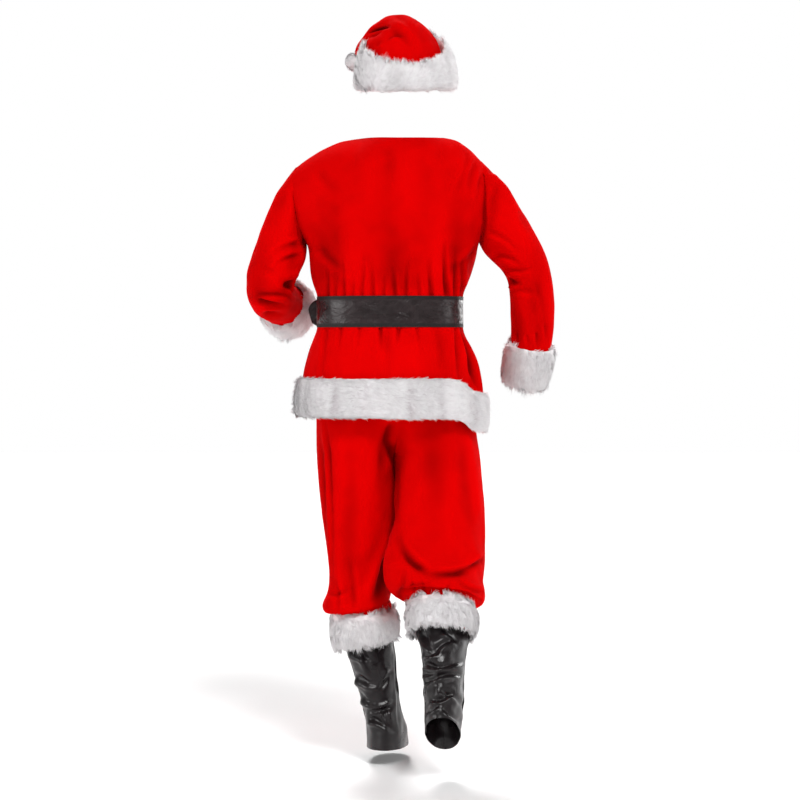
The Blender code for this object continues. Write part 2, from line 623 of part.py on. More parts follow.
def sleeve_rings(side, loop):
    """The sleeve's points from the armhole loop to the wrist. Column 0 is under the arm."""
    path = SLEEVES[side]
    at = np.linspace(0, 1, SLEEVE_ROWS)
    fur_from = SLEEVE_FUR_FROM[side]
    at = np.concatenate([at[at < fur_from - 0.03], [fur_from, 1.0]])
    middle = np.stack([smooth(path, name, at, "v") for name in ("x", "y", "h")], axis=-1)
    radius = smooth(path, "radius", at, "v")
    tangent = unit(np.gradient(middle, axis=0))
    columns = len(loop)
    turn = np.arange(columns) / columns * 2 * math.pi
    sign = 1 if side == "left" else -1
    inward = np.array([-sign * 0.8, 0.0, -0.6])
    rings = []
    for i, axis in enumerate(tangent):
        inward = unit(inward - (inward @ axis) * axis)
        backward = np.cross(axis, inward) * sign
        ring = middle[i] + radius[i] * (
            np.cos(turn)[:, None] * inward + np.sin(turn)[:, None] * backward
        )
        rings.append(ring)
    blend = (np.clip(at / SLEEVE_ROUND_FROM, 0, 1) ** 0.8)[:, None, None]
    moved = loop[None] + (middle - middle[0])[:, None] * 0.9
    rings = moved * (1 - blend) + np.array(rings) * blend
    for ring in rings[1:SLEEVE_ROWS // 2]:
        away = np.linalg.norm(ring[:, None, 1:] - loop[None, :, 1:], axis=-1)
        near = np.exp(-((away / 0.02) ** 2)) + 1e-9
        edge = near @ (sign * loop[:, 0]) / near.sum(axis=1) + BODY_CLEAR
        ring[:, 0] = sign * np.maximum(sign * ring[:, 0], edge)
    rings[0] = loop + unit(rings[1] - loop) * 2 * SEAM
    return rings, at


def make_sleeve(side, loop):
    rings, at = sleeve_rings(side, loop)
    folded = fold(rings, SLEEVE_FOLDS[side], True)
    keep = np.clip(at / 0.12, 0, 1) * np.clip((SLEEVE_FUR_FROM[side] - at) / 0.06, 0, 1)
    rings = rings + (folded - rings) * keep[:, None, None]
    if side == "left":
        rings = rings[:, ::-1]
    rings = rings[::-1]
    add_shell(f"sleeve_{side}", rings, "plush", closed=True)
    normals = normals_of(rings, True)
    normals[0] = normals[1]
    add_fur(f"sleeve_fur_{side}", rings[0], rings[1], normals[0], normals[1], closed=True, waves=0.06)


# ---------------------------------------------------------------- trousers

def leg_rows(side):
    """Points of one whole leg: rows from the waist down, columns from the outer seam over the back and round.

    Above the crotch a row is an open arc, from the middle of the back round the side to the middle of the front.
    """
    data = LEGS[side]
    half = LEG_COLUMNS
    share = np.linspace(-1, 1, 2 * half + 1)  # -1 is the inner end at the back, 0 the outer seam, 1 the front
    rows = []
    for height in np.linspace(WAISTBAND_BOTTOM - SEAM, SEAT, 4):
        rows.append(hip_row(side, height, height, 90.0, share))
    for t in (0.36, 0.66, 0.88, 1.0):
        low = SEAT - (SEAT - CROTCH) * math.sin(math.pi * t / 2)
        outer = SEAT - (SEAT - CROTCH) * t
        rows.append(hip_row(side, outer, low, 90 + 90 * t, share))
    for v in (0.14, 0.27, 0.40, 0.50, 0.60, 0.68, 0.76, 0.83, 0.90, 0.95, 1.00):
        rows.append(leg_row(data, v, share, float(np.interp(v, *LEG_TWIST[side]))))
    return np.array(rows)


def hip_row(side, outer_height, inner_height, span, share):
    """One row above the crotch. Span is the angle from the outer seam to the inner end."""
    sign = 1 if side == "left" else -1
    turn = np.radians(np.abs(share) * span)
    height = outer_height + (inner_height - outer_height) * np.abs(share) ** 2
    wide = smooth(HIPS, side, height)
    back, front = smooth(HIPS, "back", height), smooth(HIPS, "front", height)
    radius = wide / (1 - math.cos(math.radians(span)))
    power = 2 / HIPS_SQUARE
    cos, sin = np.cos(turn), np.sin(turn)
    x = wide - radius + radius * np.sign(cos) * np.abs(cos) ** power
    if span > 91:
        x = wide - radius * (1 - np.sign(cos) * np.abs(cos) ** power)
    y = np.abs(sin) ** power * np.where(share < 0, back, -front)
    return np.stack([sign * np.maximum(x, 0.0), y, height], axis=-1)


def leg_row(data, v, share, twist):
    height, outer, inner, back, front, rise_x, rise_y = (
        float(smooth(data, name, v, "v")) for name in ("h", "outer", "inner", "back", "front", "rise_x", "rise_y")
    )
    turn = np.radians(np.abs(share) * 180)
    cos, sin = np.cos(turn), np.sin(turn)
    power = 2 / LEG_SQUARE
    x = (outer + inner) / 2 + (outer - inner) / 2 * np.sign(cos) * np.abs(cos) ** power
    middle = (back + front) / 2
    y = middle - np.sign(share) * (back - front) / 2 * np.abs(sin) ** power
    z = height + rise_x * (x - (outer + inner) / 2) + rise_y * (y - middle)
    towards = np.clip((outer - x) / (outer - inner), 0, 1)
    x = x + twist * (y - middle) * (0.6 + 0.6 * towards)
    return np.stack([x, y, z], axis=-1)


def make_leg(side):
    whole = leg_rows(side)
    rows = len(whole)
    half = LEG_COLUMNS
    folded = fold(whole, LEG_FOLDS[side], False)
    at = np.arange(rows)
    keep = np.clip((at - 5) / 2, 0, 1) * np.clip((rows - 4 - at) / 2, 0, 1)
    ends = np.clip(1.15 - np.abs(np.linspace(-1, 1, 2 * half + 1)) ** 6, 0, 1)
    whole = whole + (folded - whole) * keep[:, None, None] * ends[None, :, None]
    whole = whole[::-1]
    if side == "left":
        whole = whole[:, ::-1]
    back = whole[:, half:] if side == "left" else whole[:, :half + 1]
    front = whole[:, :half + 1] if side == "left" else whole[:, half:]
    back_gaps, front_gaps = (SEAM, INNER_SEAM), (INNER_SEAM, SEAM)
    if side == "right":
        back_gaps, front_gaps = front_gaps, back_gaps
    add_shell(f"trouser_back_{side}", trim(back, *back_gaps), "plush")
    add_shell(f"trouser_front_{side}", trim(front, *front_gaps), "plush")
    ring = whole[:2, :-1]
    normals = normals_of(ring, True)
    across = (ring[1, :, 0] - ring[1, :, 0].min()) / np.ptp(ring[1, :, 0])
    start = np.interp(across if side == "right" else 1 - across, (0, 1), LEG_FUR_TOP[side])
    top = ring[1] + (ring[0] - ring[1]) * start[:, None]
    add_fur(f"leg_fur_{side}", ring[0], top, normals[0], normals[1], closed=True, waves=0.06)


def make_waistband():
    turn = np.arange(40) * 9.0
    rows = [WAISTBAND_BOTTOM, WAISTBAND_TOP]
    points = section(COAT, np.array(rows)[:, None], turn[None, :], COAT_SQUARE)
    lapped = np.exp(-(((turn - 262) / 22) ** 2))[None, :, None] * (CLOTH + 2 * SEAM)
    points = points - normals_of(points, True) * (CLOTH + WAIST_CLEAR + lapped)
    add_shell("waistband", points, "plush", thickness=0.003, closed=True)


# ---------------------------------------------------------------- boot covers

def make_boot(side):
    data = BOOTS[side]
    half = BOOT_COLUMNS
    share = np.linspace(-1, 1, 2 * half + 1)
    rows = [leg_row(data, v, share, SHIN_TWIST) for v in np.linspace(0, 1, BOOT_ROWS)]
    whole = np.array(rows)
    # Halves: share runs from the inner seam over the back to the outer seam, and on over the front.
    folded = fold(whole, BOOT_FOLDS[side], False)
    ends = np.clip(1.1 - np.abs(share) ** 6, 0, 1)
    keep = np.clip(np.arange(BOOT_ROWS) / 1.0, 0, 1)
    whole = whole + (folded - whole) * keep[:, None, None] * ends[None, :, None]
    whole = whole[::-1]
    if side == "left":
        whole = whole[:, ::-1]
    first, second = whole[:, :half + 1], whole[:, half:]
    back, front = (second, first) if side == "left" else (first, second)
    add_shell(f"boot_back_{side}", trim(back, SEAM, SEAM), "vinyl", VINYL)
    add_shell(f"boot_front_{side}", trim(front, SEAM, SEAM), "vinyl", VINYL)


# ---------------------------------------------------------------- hat

def hat_rings(columns):
    """The crown's rings, from the brow up and over to the tip. Column 0 is at the wearer's left."""
    at = np.linspace(0, 1, HAT_ROWS)
    at = np.concatenate([[0.0, HAT_FUR_TO], at[at > HAT_FUR_TO + 0.03]])
    turn = np.arange(columns) / columns * 2 * math.pi
    heading = math.radians(HAT_TIP_TURN)
    over = np.array([math.cos(heading), -math.sin(heading), 0.0])
    aside = np.array([math.sin(heading), math.cos(heading), 0.0])
    up = np.array([0.0, 0.0, 1.0])
    away = (np.degrees(turn) - HAT_DIP_AT + 180) % 360 - 180
    dip = HAT_DIP * np.exp(-((away / HAT_DIP_WIDTH) ** 2))
    rings = []
    for v in at:
        x, y, h, wide, deep, lean, tilt, roll = (
            float(smooth(HAT, name, v, "v"))
            for name in ("x", "y", "h", "wide", "deep", "lean", "tilt", "roll")
        )
        lean = math.radians(lean)
        side = over * math.cos(lean) - up * math.sin(lean)
        flat = np.stack([np.cos(turn) * wide, np.sin(turn) * deep], axis=-1)
        flat = np.stack([
            flat[:, 0] * over[0] + flat[:, 1] * over[1],
            flat[:, 0] * aside[0] + flat[:, 1] * aside[1],
        ], axis=-1)
        ring = np.array([x, y, h]) + flat[:, :1] * side + flat[:, 1:] * aside
        level = min(1.0, 1 + HAT_FUR_TO - v) ** 2
        ring[:, 2] -= (ring[:, 1] - y) * math.tan(math.radians(tilt)) * level
        ring[:, 2] -= (ring[:, 0] - x) * roll * level
        ring[:, 2] -= dip * float(np.interp(v, (0.0, HAT_FUR_TO, 0.5), (0.0, 1.0, 0.0)))
        rings.append(ring)
    return np.array(rings)


def make_hat():
    columns = 2 * HAT_COLUMNS
    rings = fold(hat_rings(columns), HAT_FOLDS, True)
    back = rings[:, :HAT_COLUMNS + 1]
    front = np.concatenate([rings[:, HAT_COLUMNS:], rings[:, :1]], axis=1)
    add_shell("hat_back", trim(back, SEAM, SEAM), "plush")
    add_shell("hat_front", trim(front, SEAM, SEAM), "plush")
    normals = normals_of(rings, True)
    fuller = 0.45 * np.clip(-np.cos(np.arange(columns) / columns * 2 * math.pi), 0, 1)
    add_fur("hat_fur_band", rings[0], rings[1], normals[0], normals[1], 0.022, closed=True, waves=0.05,
            clear=0.0025, fuller=fuller)
    make_pompom(rings[-1].mean(axis=0), unit(rings[-1].mean(axis=0) - rings[-2].mean(axis=0)))


def make_pompom(tip, direction):
    """A ball of fur locks, each a three-sided tuft on a small core."""
    shape = bmesh.new()
    bmesh.ops.create_icosphere(shape, subdivisions=2, radius=POMPOM_RADIUS - POMPOM_LOCK)
    bmesh.ops.inset_individual(shape, faces=shape.faces, thickness=POMPOM_LOCK * 0.3, depth=POMPOM_LOCK)
    mesh = bpy.data.meshes.new("hat_pompom")
    shape.to_mesh(mesh)
    shape.free()
    centre = tip + direction * (POMPOM_RADIUS - CLEAR)
    piece = add_object("hat_pompom", mesh, "fur")
    piece.location = centre.tolist()


# ---------------------------------------------------------------- belt

def belt_ring(turn, out):
    """Places round the waist, this far outside the jacket, at half height."""
    flat = section(COAT, np.array([[1.105]]), turn[None, :], COAT_SQUARE)[0]
    ahead = np.gradient(flat, axis=0)
    normal = unit(np.stack([ahead[:, 1], -ahead[:, 0], np.zeros(len(ahead))], axis=-1))
    return flat + normal * out


def make_belt():
    """The strap goes once round, under its own tongue, which leaves the buckle as a straight free end."""
    first = 282.0
    turn = first + np.linspace(0, 360, 91)
    lap = np.clip((turn - 600) / 24, 0, 1)
    lap = lap * lap * (3 - 2 * lap)
    out = BELT_CLEAR + BELT_THICK + lap * (BELT_THICK + CLEAR)
    line = np.array([belt_ring(np.array([t - 0.5, t, t + 0.5]), gap)[1] for t, gap in zip(turn, out)])
    side = float(smooth(COAT, "left", 1.105)) + TONGUE_REACH
    end = line[-1].copy()
    heading = unit(line[-1] - line[-2])
    reach = (side - end[0]) / heading[0]
    heading = unit(heading + np.array([0.0, -0.10, 0.0]))
    tail = np.array([end + heading * reach * t for t in np.sin(np.linspace(0, math.pi / 2, 15))[1:]])
    line = np.concatenate([line, tail])
    half = (BELT_TOP - BELT_BOTTOM) / 2
    middle = (BELT_TOP + BELT_BOTTOM) / 2
    steps = np.linalg.norm(np.diff(line, axis=0), axis=-1)
    to_tip = np.append(np.cumsum(steps[::-1])[::-1], 0.0)
    round_end = np.sqrt(np.clip(1 - (1 - np.clip(to_tip / half, 0, 1)) ** 2, 0.02, 1))
    rows = []
    for level in (-1, -0.5, 0.5, 1):
        row = line.copy()
        row[:, 2] = middle + level * half * round_end
        rows.append(row)
    add_shell("belt_strap", np.array(rows), "leather", BELT_THICK)


def make_buckle():
    """A plain frame round the strap's end at the front."""
    wide, high, thick = BUCKLE
    out = BELT_CLEAR + 2 * BELT_THICK + 2 * CLEAR + thick / 2
    centre = belt_ring(np.array([269.0, 270.0, 271.0]), out)[1]
    centre[2] = (BELT_TOP + BELT_BOTTOM) / 2
    mesh = bpy.data.meshes.new("belt_buckle")
    shape = bmesh.new()
    bmesh.ops.create_cube(shape, size=1.0)
    bmesh.ops.scale(shape, vec=(wide, thick, high), verts=shape.verts)
    shape.to_mesh(mesh)
    shape.free()
    piece = add_object("belt_buckle", mesh, "brass")
    piece.location = centre.tolist()
    hole_mesh = bpy.data.meshes.new("buckle_hole")
    shape = bmesh.new()
    bmesh.ops.create_cube(shape, size=1.0)
    bmesh.ops.scale(shape, vec=(wide - 2 * BUCKLE_BAR, 4 * thick, high - 2 * BUCKLE_BAR), verts=shape.verts)
    shape.to_mesh(hole_mesh)
    shape.free()
    hole = bpy.data.objects.new("buckle_hole", hole_mesh)
    hole.parent = STAND
    hole.location = centre.tolist()
    hole.hide_render = True
    hole.display_type = "WIRE"
    CUTTERS.objects.link(hole)
    cut = piece.modifiers.new("hole", "BOOLEAN")
    cut.operation = "DIFFERENCE"
    cut.object = hole


clear_scene()
MATERIALS = {name: make_material(name) for name in COLOURS}
SUIT = bpy.data.collections.new("santa_suit")
CUTTERS = bpy.data.collections.new("cutters")
bpy.context.scene.collection.children.link(SUIT)
bpy.context.scene.collection.children.link(CUTTERS)
STAND = bpy.data.objects.new("neck_to_floor", None)
STAND.location = [-value for value in NECK]
SUIT.objects.link(STAND)

armholes = make_coat()
for which in ("left", "right"):
    make_sleeve(which, armholes[which])
    make_leg(which)
    make_boot(which)
make_waistband()
make_belt()
make_buckle()
make_hat()
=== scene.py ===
"""The santa suit's looks: plush, fur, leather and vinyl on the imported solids.

Metres, in the row frame. The wearer faces -Y and the wearer's left is +X, so the camera behind the suit sees
+X at its left. Creases are placed in the picture, as seen from behind. Those of the front stand where they
would be seen through the suit.
"""

import math

import bmesh
import bpy
import numpy as np
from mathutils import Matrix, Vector
from mathutils.bvhtree import BVHTree
from mathutils.kdtree import KDTree


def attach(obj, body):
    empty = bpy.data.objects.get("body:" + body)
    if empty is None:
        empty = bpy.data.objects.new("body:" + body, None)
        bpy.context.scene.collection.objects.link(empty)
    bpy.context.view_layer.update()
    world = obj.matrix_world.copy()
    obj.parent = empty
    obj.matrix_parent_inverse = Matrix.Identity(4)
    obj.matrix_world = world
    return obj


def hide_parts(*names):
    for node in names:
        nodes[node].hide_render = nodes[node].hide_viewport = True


# the photograph's camera
PICTURE = 800             # pixels on each side
SENSOR = 36.0             # mm wide
LENS = 91.84              # mm
CAMERA = (0.020, 5.015, -0.470)
CENTRE = (395.0, 342.6)   # where the camera's own axis meets the picture
FARTHEST = 60             # how far the camera sees

# the studio
FLOOR = -1.500
FLOOR_SIZE = 14           # from the floor's middle to its sides
FAR_GREY = 0.80           # the floor's colour where it is greyest
DARKER = (0.5, 3.0)       # from where to where along Y the floor gets greyer
BAND = ((-0.30, 0.20), (-0.10, 1.0), (0.18, 1.0), (0.32, 0.20))  # heights of the view and their greys
SUNS = {                  # where each shines from, its spread in degrees and its strength
    "key": ((-1.1, 3.0, 3.3), 16, 1.95),
    "fill": ((3.6, 1.8, 1.2), 40, 0.40),
    "front_key": ((0.5, -3.1, 3.3), 18, 2.2),
    "front_fill": ((-3.6, -1.8, 1.2), 40, 0.40),
}
STRIPS = {                # where each stands and its strength
    "left_strip": ((4.0, 1.9, 0.3), 90),
    "right_strip": ((-4.2, 0.9, 0.3), 36),
    "top_strip": ((0.6, 4.4, 2.6), 120),
    "front_strip": ((-2.6, -3.8, 0.8), 60),
}
STRIP_SIZE = (0.7, 2.6)
STRIP_AIM = (0, 0, -0.5)  # the place that they face

# colours
DEEP_RED, RED = (0.68, 0.0, 0.0002, 1), (0.80, 0.0, 0.0004, 1)
RED_SHEEN = (1.0, 0.01, 0.02, 1)
# the fur's painted shade: dark pinkish roots, a lighter middle and white tips
SHADED_ROOTS, PILE, TIPS = (0.60, 0.52, 0.55, 1), (0.90, 0.865, 0.88, 1), (0.99, 0.975, 0.98, 1)
DARK_LEATHER, LEATHER = (0.0115, 0.0060, 0.0064, 1), (0.030, 0.0200, 0.0210, 1)
BOUND, BOUND_ROUGH = (0.006, 0.0045, 0.0045, 1), (0.6, 0.6, 0.6, 1)  # the binding's, and its roughness
DARK_BOOT, BOOT = (0.0060, 0.0042, 0.0046, 1), (0.014, 0.0105, 0.0115, 1)
DARK_BRASS, BRASS = (0.62, 0.40, 0.14, 1), (0.80, 0.58, 0.26, 1)
STRAP = (-0.432, -0.359)  # the belt's lower and upper edges
BINDING = (0.10, 0.90)    # the strap's edges are bound outside these shares of its height
BINDING_SOFT = 0.02       # the share over which the binding ends

# the walls of the cloth
CLOTH = 0.0020            # plush
VINYL = 0.0014            # boot covers
THICK = 0.0030            # strap and waistband
SAME = 1e-6               # points nearer than this are one point
TINY = 1e-9               # keeps a division from being by nothing
RIM_WIDE = 1.25           # a face across the wall is no wider than this many walls
RIM_TURN = math.radians(40)  # and turns at least this far from a face beside it
FLATTER = math.radians(70)  # triangles that meet at less than this are joined to quads
SEAM_REACH = 0.0009       # how far a sheet reaches past its solid's edges, to close the seams
SLEEVE_REACH = 0.0024     # and how far a sleeve does
TUCK = 0.0075             # how far a cloth edge stays short inside its fur
ALONG_TUCK = 0.72         # the least cosine between an edge's way out and its tuck
ARMPIT = -0.27            # sleeve edges above this are the sleeve's head
LEFT_HEAD, RIGHT_HEAD = 0.0008, 0.0026  # how far the head is lifted to the shoulder
HEAD_SOFT = 0.018         # how far from its edge the head is lifted

# the creases
CREASE_UNIT = 0.0016      # how deep a crease of depth 1 is
CREASE_STEPS = 8          # straight stretches along a bent crease
FADE_IN, FADE_OUT = 5, 1.7  # how quickly a crease deepens from its start and fades to its end
LIP = 1.5                 # how many widths beside the crease its lip stands
TURNED, TURNED_SOFT = 0.15, 3.0  # how a crease fades where the cloth turns away
SHARP = 4.5               # creases narrower than this in the picture need finer faces
CROSSED = 0.0005          # a point that a crease moves this far is crossed by it
HALVINGS = 2              # how many times such faces are halved
FINEST = 0.0034           # edges shorter than this aren't halved for a crease
ROUNDED = 0.6             # how much the halved faces are rounded
FOLD_SHADING_SPAN = 0.022         # from the deepest crease to the highest ridge, for the painted shade and painted light in the pile's colour
WAVES = 14                # how many waves make the uneven ground of the cloth
BELT_SPAN = (294.0, 330.0)  # the belt's height in the picture
BELT_ROOM = 0.0003        # how far the cloth may stand out under the belt
BELT_RISE = 0.0007        # and how much more for each pixel away from it
MEETING = 395.2           # where the legs meet in the picture
THIGHS = (410.0, 520.0)   # from where to where down the picture the thighs press each other
THIGH_SOFT = (12.0, 20.0)  # how softly that starts and ends
BESIDE = 7.0              # how far beside the middle it reaches
PRESSED = 0.0034          # how far each leg's inner face is pushed

# the fur
FUR_FLATTER = math.radians(60)
DEEPEST = 0.016           # the furthest that a fur's face is taken to be from its cloth
THIN = 0.003              # fur no thicker than this has no locks and isn't drawn in
LUMPY = 0.004             # fur thicker than this is lumpy
LUMPS = (0.016, 0.0006)   # the lumps' size and height
SUNK = 0.0010             # how far the locks' roots are sunk into the body
TUFT_REACH = 0.014        # locks nearer than this to their tuft's middle lean to its tip
HIGHEST = 0.55            # how far the locks of a rim stand up, as a share of their length
MARK_DEPTH = 0.010        # the depth of a crease that changes the locks' painted shade by 1
MARK_RANGE = (-0.40, 0.15)  # the most that a crease darkens the locks with painted shade and lightens them with painted light
LOCK_SHADES = (0.42, 0.42, 0.70, 0.70, 0.92)  # painted shade at a lock's two root points, two middle ones and its tip, darkest at the roots
# the painted shade of the fur's body under the locks
BODY_SHADE = 0.52
CORE = 0.82               # the pompom's core, as a share of its radius
POMPOM_DEEP = 0.012       # the depth taken for its pile
POMPOM_LUMPS = (0.012, 0.0006)

# ways, and each fur's pile
DOWN = (0, 0, -1)
LEFT_WRIST, RIGHT_WRIST = (-0.2, -1, -0.2), (0.1, -0.3, -1)  # the ways that the sleeves' ends face
LEFT_ANKLE, RIGHT_ANKLE = (-0.1, 0, -1), (0, 0.5, -1)  # and those of the trouser legs
SMOOTH_PILE = {"length": 0.016, "width": 0.0012, "stray": 0.35, "deep": 0.25, "tuft": 24, "pull": (0.15, 0.5),
               "down": DOWN, "ruff": 0.0, "lift": 0.0}
SHAGGY_PILE = {"length": 0.019, "width": 0.0014, "stray": 0.50, "deep": 0.30, "tuft": 50, "pull": (0.3, 0.7),
               "ruff": 0.8, "lift": 0.35}
BAND_PILE = {"length": 0.020, "width": 0.0012, "stray": 0.50, "deep": 0.24, "tuft": 44, "pull": (0.35, 0.75),
             "ruff": 0.9, "lift": 0.15}
POMPOM_PILE = {"length": 0.009, "width": 0.0012, "stray": 1.2, "deep": 0.30, "tuft": 20, "pull": (0.1, 0.4),
               "down": DOWN, "ruff": 0.0, "lift": 0.0}

# a crease's two ends, how far its middle stands aside, its width, its depth and its lip's height
COLUMNS = ("x0", "y0", "x1", "y1", "bend", "width", "depth", "lip")

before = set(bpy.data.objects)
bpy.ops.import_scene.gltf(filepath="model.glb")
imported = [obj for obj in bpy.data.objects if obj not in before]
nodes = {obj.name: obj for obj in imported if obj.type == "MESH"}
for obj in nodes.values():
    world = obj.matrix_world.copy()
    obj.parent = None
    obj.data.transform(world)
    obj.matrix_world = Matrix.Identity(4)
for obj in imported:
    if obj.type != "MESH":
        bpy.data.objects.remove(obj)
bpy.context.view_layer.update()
random = np.random.default_rng(12)


def table(*rows):
    """Creases as one array for each column."""
    return {name: np.array(values, float) for name, values in zip(COLUMNS, zip(*rows))}


def unit(vectors):
    return vectors / np.maximum(np.linalg.norm(vectors, axis=-1, keepdims=True), TINY)


def placed(name, data):
    """A new object in the scene."""
    made = bpy.data.objects.new(name, data)
    bpy.context.scene.collection.objects.link(made)
    return made


# ---- camera, floor and lights

def make_camera():
    data = bpy.data.cameras.new("camera")
    data.lens = LENS
    data.sensor_width = SENSOR
    data.shift_x = (PICTURE / 2 - CENTRE[0]) / PICTURE
    data.shift_y = (CENTRE[1] - PICTURE / 2) / PICTURE
    data.clip_end = FARTHEST
    camera = placed("camera", data)
    camera.location = CAMERA
    camera.rotation_euler = (math.radians(90), 0, math.radians(180))
    bpy.context.scene.camera = camera


def graded(tree, output, axis, span):
    """A node that gives 0 to 1 as a place goes from one end of a span to the other along an axis."""
    place = tree.nodes.new("ShaderNodeTexCoord")
    apart = tree.nodes.new("ShaderNodeSeparateXYZ")
    share = tree.nodes.new("ShaderNodeMapRange")
    share.inputs["From Min"].default_value, share.inputs["From Max"].default_value = span
    tree.links.new(place.outputs[output], apart.inputs["Vector"])
    tree.links.new(apart.outputs[axis], share.inputs["Value"])
    return share.outputs["Result"]


def make_floor():
    """Pale, and a little greyer from the suit towards the camera and beyond it."""
    mesh = bpy.data.meshes.new("floor")
    corners = [(x * FLOOR_SIZE, y * FLOOR_SIZE, FLOOR) for x, y in ((-1, -1), (1, -1), (1, 1), (-1, 1))]
    mesh.from_pydata(corners, [], [(0, 1, 2, 3)])
    floor = placed("floor", mesh)
    material = bpy.data.materials.new("pale_floor")
    material.use_nodes = True
    tree = material.node_tree
    shader = tree.nodes["Principled BSDF"]
    shader.inputs["Roughness"].default_value = 0.9
    ramp = tree.nodes.new("ShaderNodeValToRGB")
    ramp.color_ramp.elements[0].color = (1.0, 1.0, 1.0, 1)
    ramp.color_ramp.elements[1].color = (FAR_GREY, FAR_GREY, FAR_GREY, 1)
    tree.links.new(graded(tree, "Object", "Y", DARKER), ramp.inputs["Fac"])
    tree.links.new(ramp.outputs["Color"], shader.inputs["Base Color"])
    mesh.materials.append(material)


def add_sun(name, place, spread, strength):
    """A large soft lamp far away, shining from a place towards the suit."""
    data = bpy.data.lights.new(name, "SUN")
    data.angle = math.radians(spread)
    data.energy = strength
    placed(name, data).rotation_euler = (-Vector(place)).to_track_quat("-Z", "Y").to_euler()


def add_strip(name, place, strength):
    """A tall lamp beside the suit that leaves long glints on what is glossy."""
    data = bpy.data.lights.new(name, "AREA")
    data.shape = "RECTANGLE"
    data.size, data.size_y = STRIP_SIZE
    data.energy = strength
    lamp = placed(name, data)
    lamp.location = place
    lamp.visible_diffuse = False
    lamp.rotation_euler = (Vector(STRIP_AIM) - Vector(place)).to_track_quat("-Z", "Y").to_euler()


def make_lights():
    """A dim room with a white band round the horizon, a high key on each side and a faint fill across it."""
    world = bpy.data.worlds.new("studio")
    bpy.context.scene.world = world
    bpy.context.scene.view_settings.view_transform = "Standard"
    world.use_nodes = True
    tree = world.node_tree
    ramp = tree.nodes.new("ShaderNodeValToRGB")
    elements = ramp.color_ramp.elements
    for _ in BAND[2:]:
        elements.new(0.5)
    for element, (level, grey) in zip(elements, BAND):
        element.position = (level + 1) / 2
        element.color = (grey, grey, grey, 1)
    tree.links.new(graded(tree, "Generated", "Z", (-1, 1)), ramp.inputs["Fac"])
    tree.links.new(ramp.outputs["Color"], tree.nodes["Background"].inputs["Color"])
    for name, (place, spread, strength) in SUNS.items():
        add_sun(name, place, spread, strength)
    for name, (place, strength) in STRIPS.items():
        add_strip(name, place, strength)


# ---- materials

class Nodes:
    """Short ways to add and join a material's nodes."""

    def __init__(self, name):
        self.material = bpy.data.materials.new(name)
        self.material.use_nodes = True
        self.tree = self.material.node_tree
        self.shader = self.tree.nodes["Principled BSDF"]
        self.place = self.tree.nodes.new("ShaderNodeTexCoord").outputs["Object"]

    def join(self, a, b):
        self.tree.links.new(a, b)

    def fill(self, socket, value):
        if isinstance(value, bpy.types.NodeSocket):
            self.join(value, socket)
        else:
            socket.default_value = value

    def noise(self, scale, detail=2.0, rough=0.5, stretch=None, distort=0.0):
        node = self.tree.nodes.new("ShaderNodeTexNoise")
        node.inputs["Scale"].default_value = scale
        node.inputs["Detail"].default_value = detail
        node.inputs["Roughness"].default_value = rough
        node.inputs["Distortion"].default_value = distort
        place = self.place
        if stretch:
            mapping = self.tree.nodes.new("ShaderNodeMapping")
            mapping.inputs["Scale"].default_value = stretch
            self.join(place, mapping.inputs["Vector"])
            place = mapping.outputs["Vector"]
        self.join(place, node.inputs["Vector"])
        return node.outputs["Fac"]

    def attribute(self, name):
        node = self.tree.nodes.new("ShaderNodeAttribute")
        node.attribute_name = name
        return node.outputs["Fac"]

    def ramp(self, value, *stops):
        """A colour or grey for each place, from a value through stops of (place, colour)."""
        node = self.tree.nodes.new("ShaderNodeValToRGB")
        elements = node.color_ramp.elements
        while len(elements) < len(stops):
            elements.new(0.5)
        for element, (place, colour) in zip(elements, stops):
            element.position = place
            element.color = colour if isinstance(colour, tuple) else (colour, colour, colour, 1)
        self.join(value, node.inputs["Fac"])
        return node.outputs["Color"]

    def mix(self, share, a, b, blend="MIX"):
        node = self.tree.nodes.new("ShaderNodeMix")
        node.data_type = "RGBA"
        node.blend_type = blend
        for name, value in (("Factor", share), ("A", a), ("B", b)):
            self.fill(node.inputs[name], value)
        return node.outputs["Result"]

    def multiply(self, a, b):
        return self.mix(1.0, a, b, "MULTIPLY")

    def bump(self, height, distance, strength=1.0, over=None):
        node = self.tree.nodes.new("ShaderNodeBump")
        node.inputs["Distance"].default_value = distance
        node.inputs["Strength"].default_value = strength
        self.join(height, node.inputs["Height"])
        if over:
            self.join(over, node.inputs["Normal"])
        return node.outputs["Normal"]

    def set(self, **values):
        for name, value in values.items():
            self.fill(self.shader.inputs[name.replace("_", " ")], value)
        return self.material


def make_plush():
    """Short brushed pile with painted shade in the folds and painted light on their ridges, and a sheen from
    the side.
    """
    m = Nodes("plush")
    nap = m.noise(9, 2, 0.5, stretch=(1, 1, 0.5), distort=0.3)
    colour = m.ramp(nap, (0.30, DEEP_RED), (0.70, RED))
    # painted shade in the creases and painted light on their ridges, from how far each point was pushed
    fold_shading = m.ramp(m.attribute("fold_shading"), (0.0, 0.30), (0.28, 0.68), (0.5, 0.90), (0.8, 1.0))
    colour = m.multiply(colour, fold_shading)
    pile = m.noise(620, 3, 0.7)
    colour = m.mix(0.5, colour, m.ramp(pile, (0.3, 0.80), (0.7, 1.0)), "MULTIPLY")
    brushed = m.noise(130, 2, 0.6, stretch=(1, 1, 0.4))
    normal = m.bump(brushed, 0.0006, 0.5)
    normal = m.bump(pile, 0.0006, 0.6, over=normal)
    return m.set(Base_Color=colour, Roughness=0.9, Sheen_Weight=0.22, Sheen_Roughness=0.28,
                 Sheen_Tint=RED_SHEEN, Specular_IOR_Level=0.01, Normal=normal)


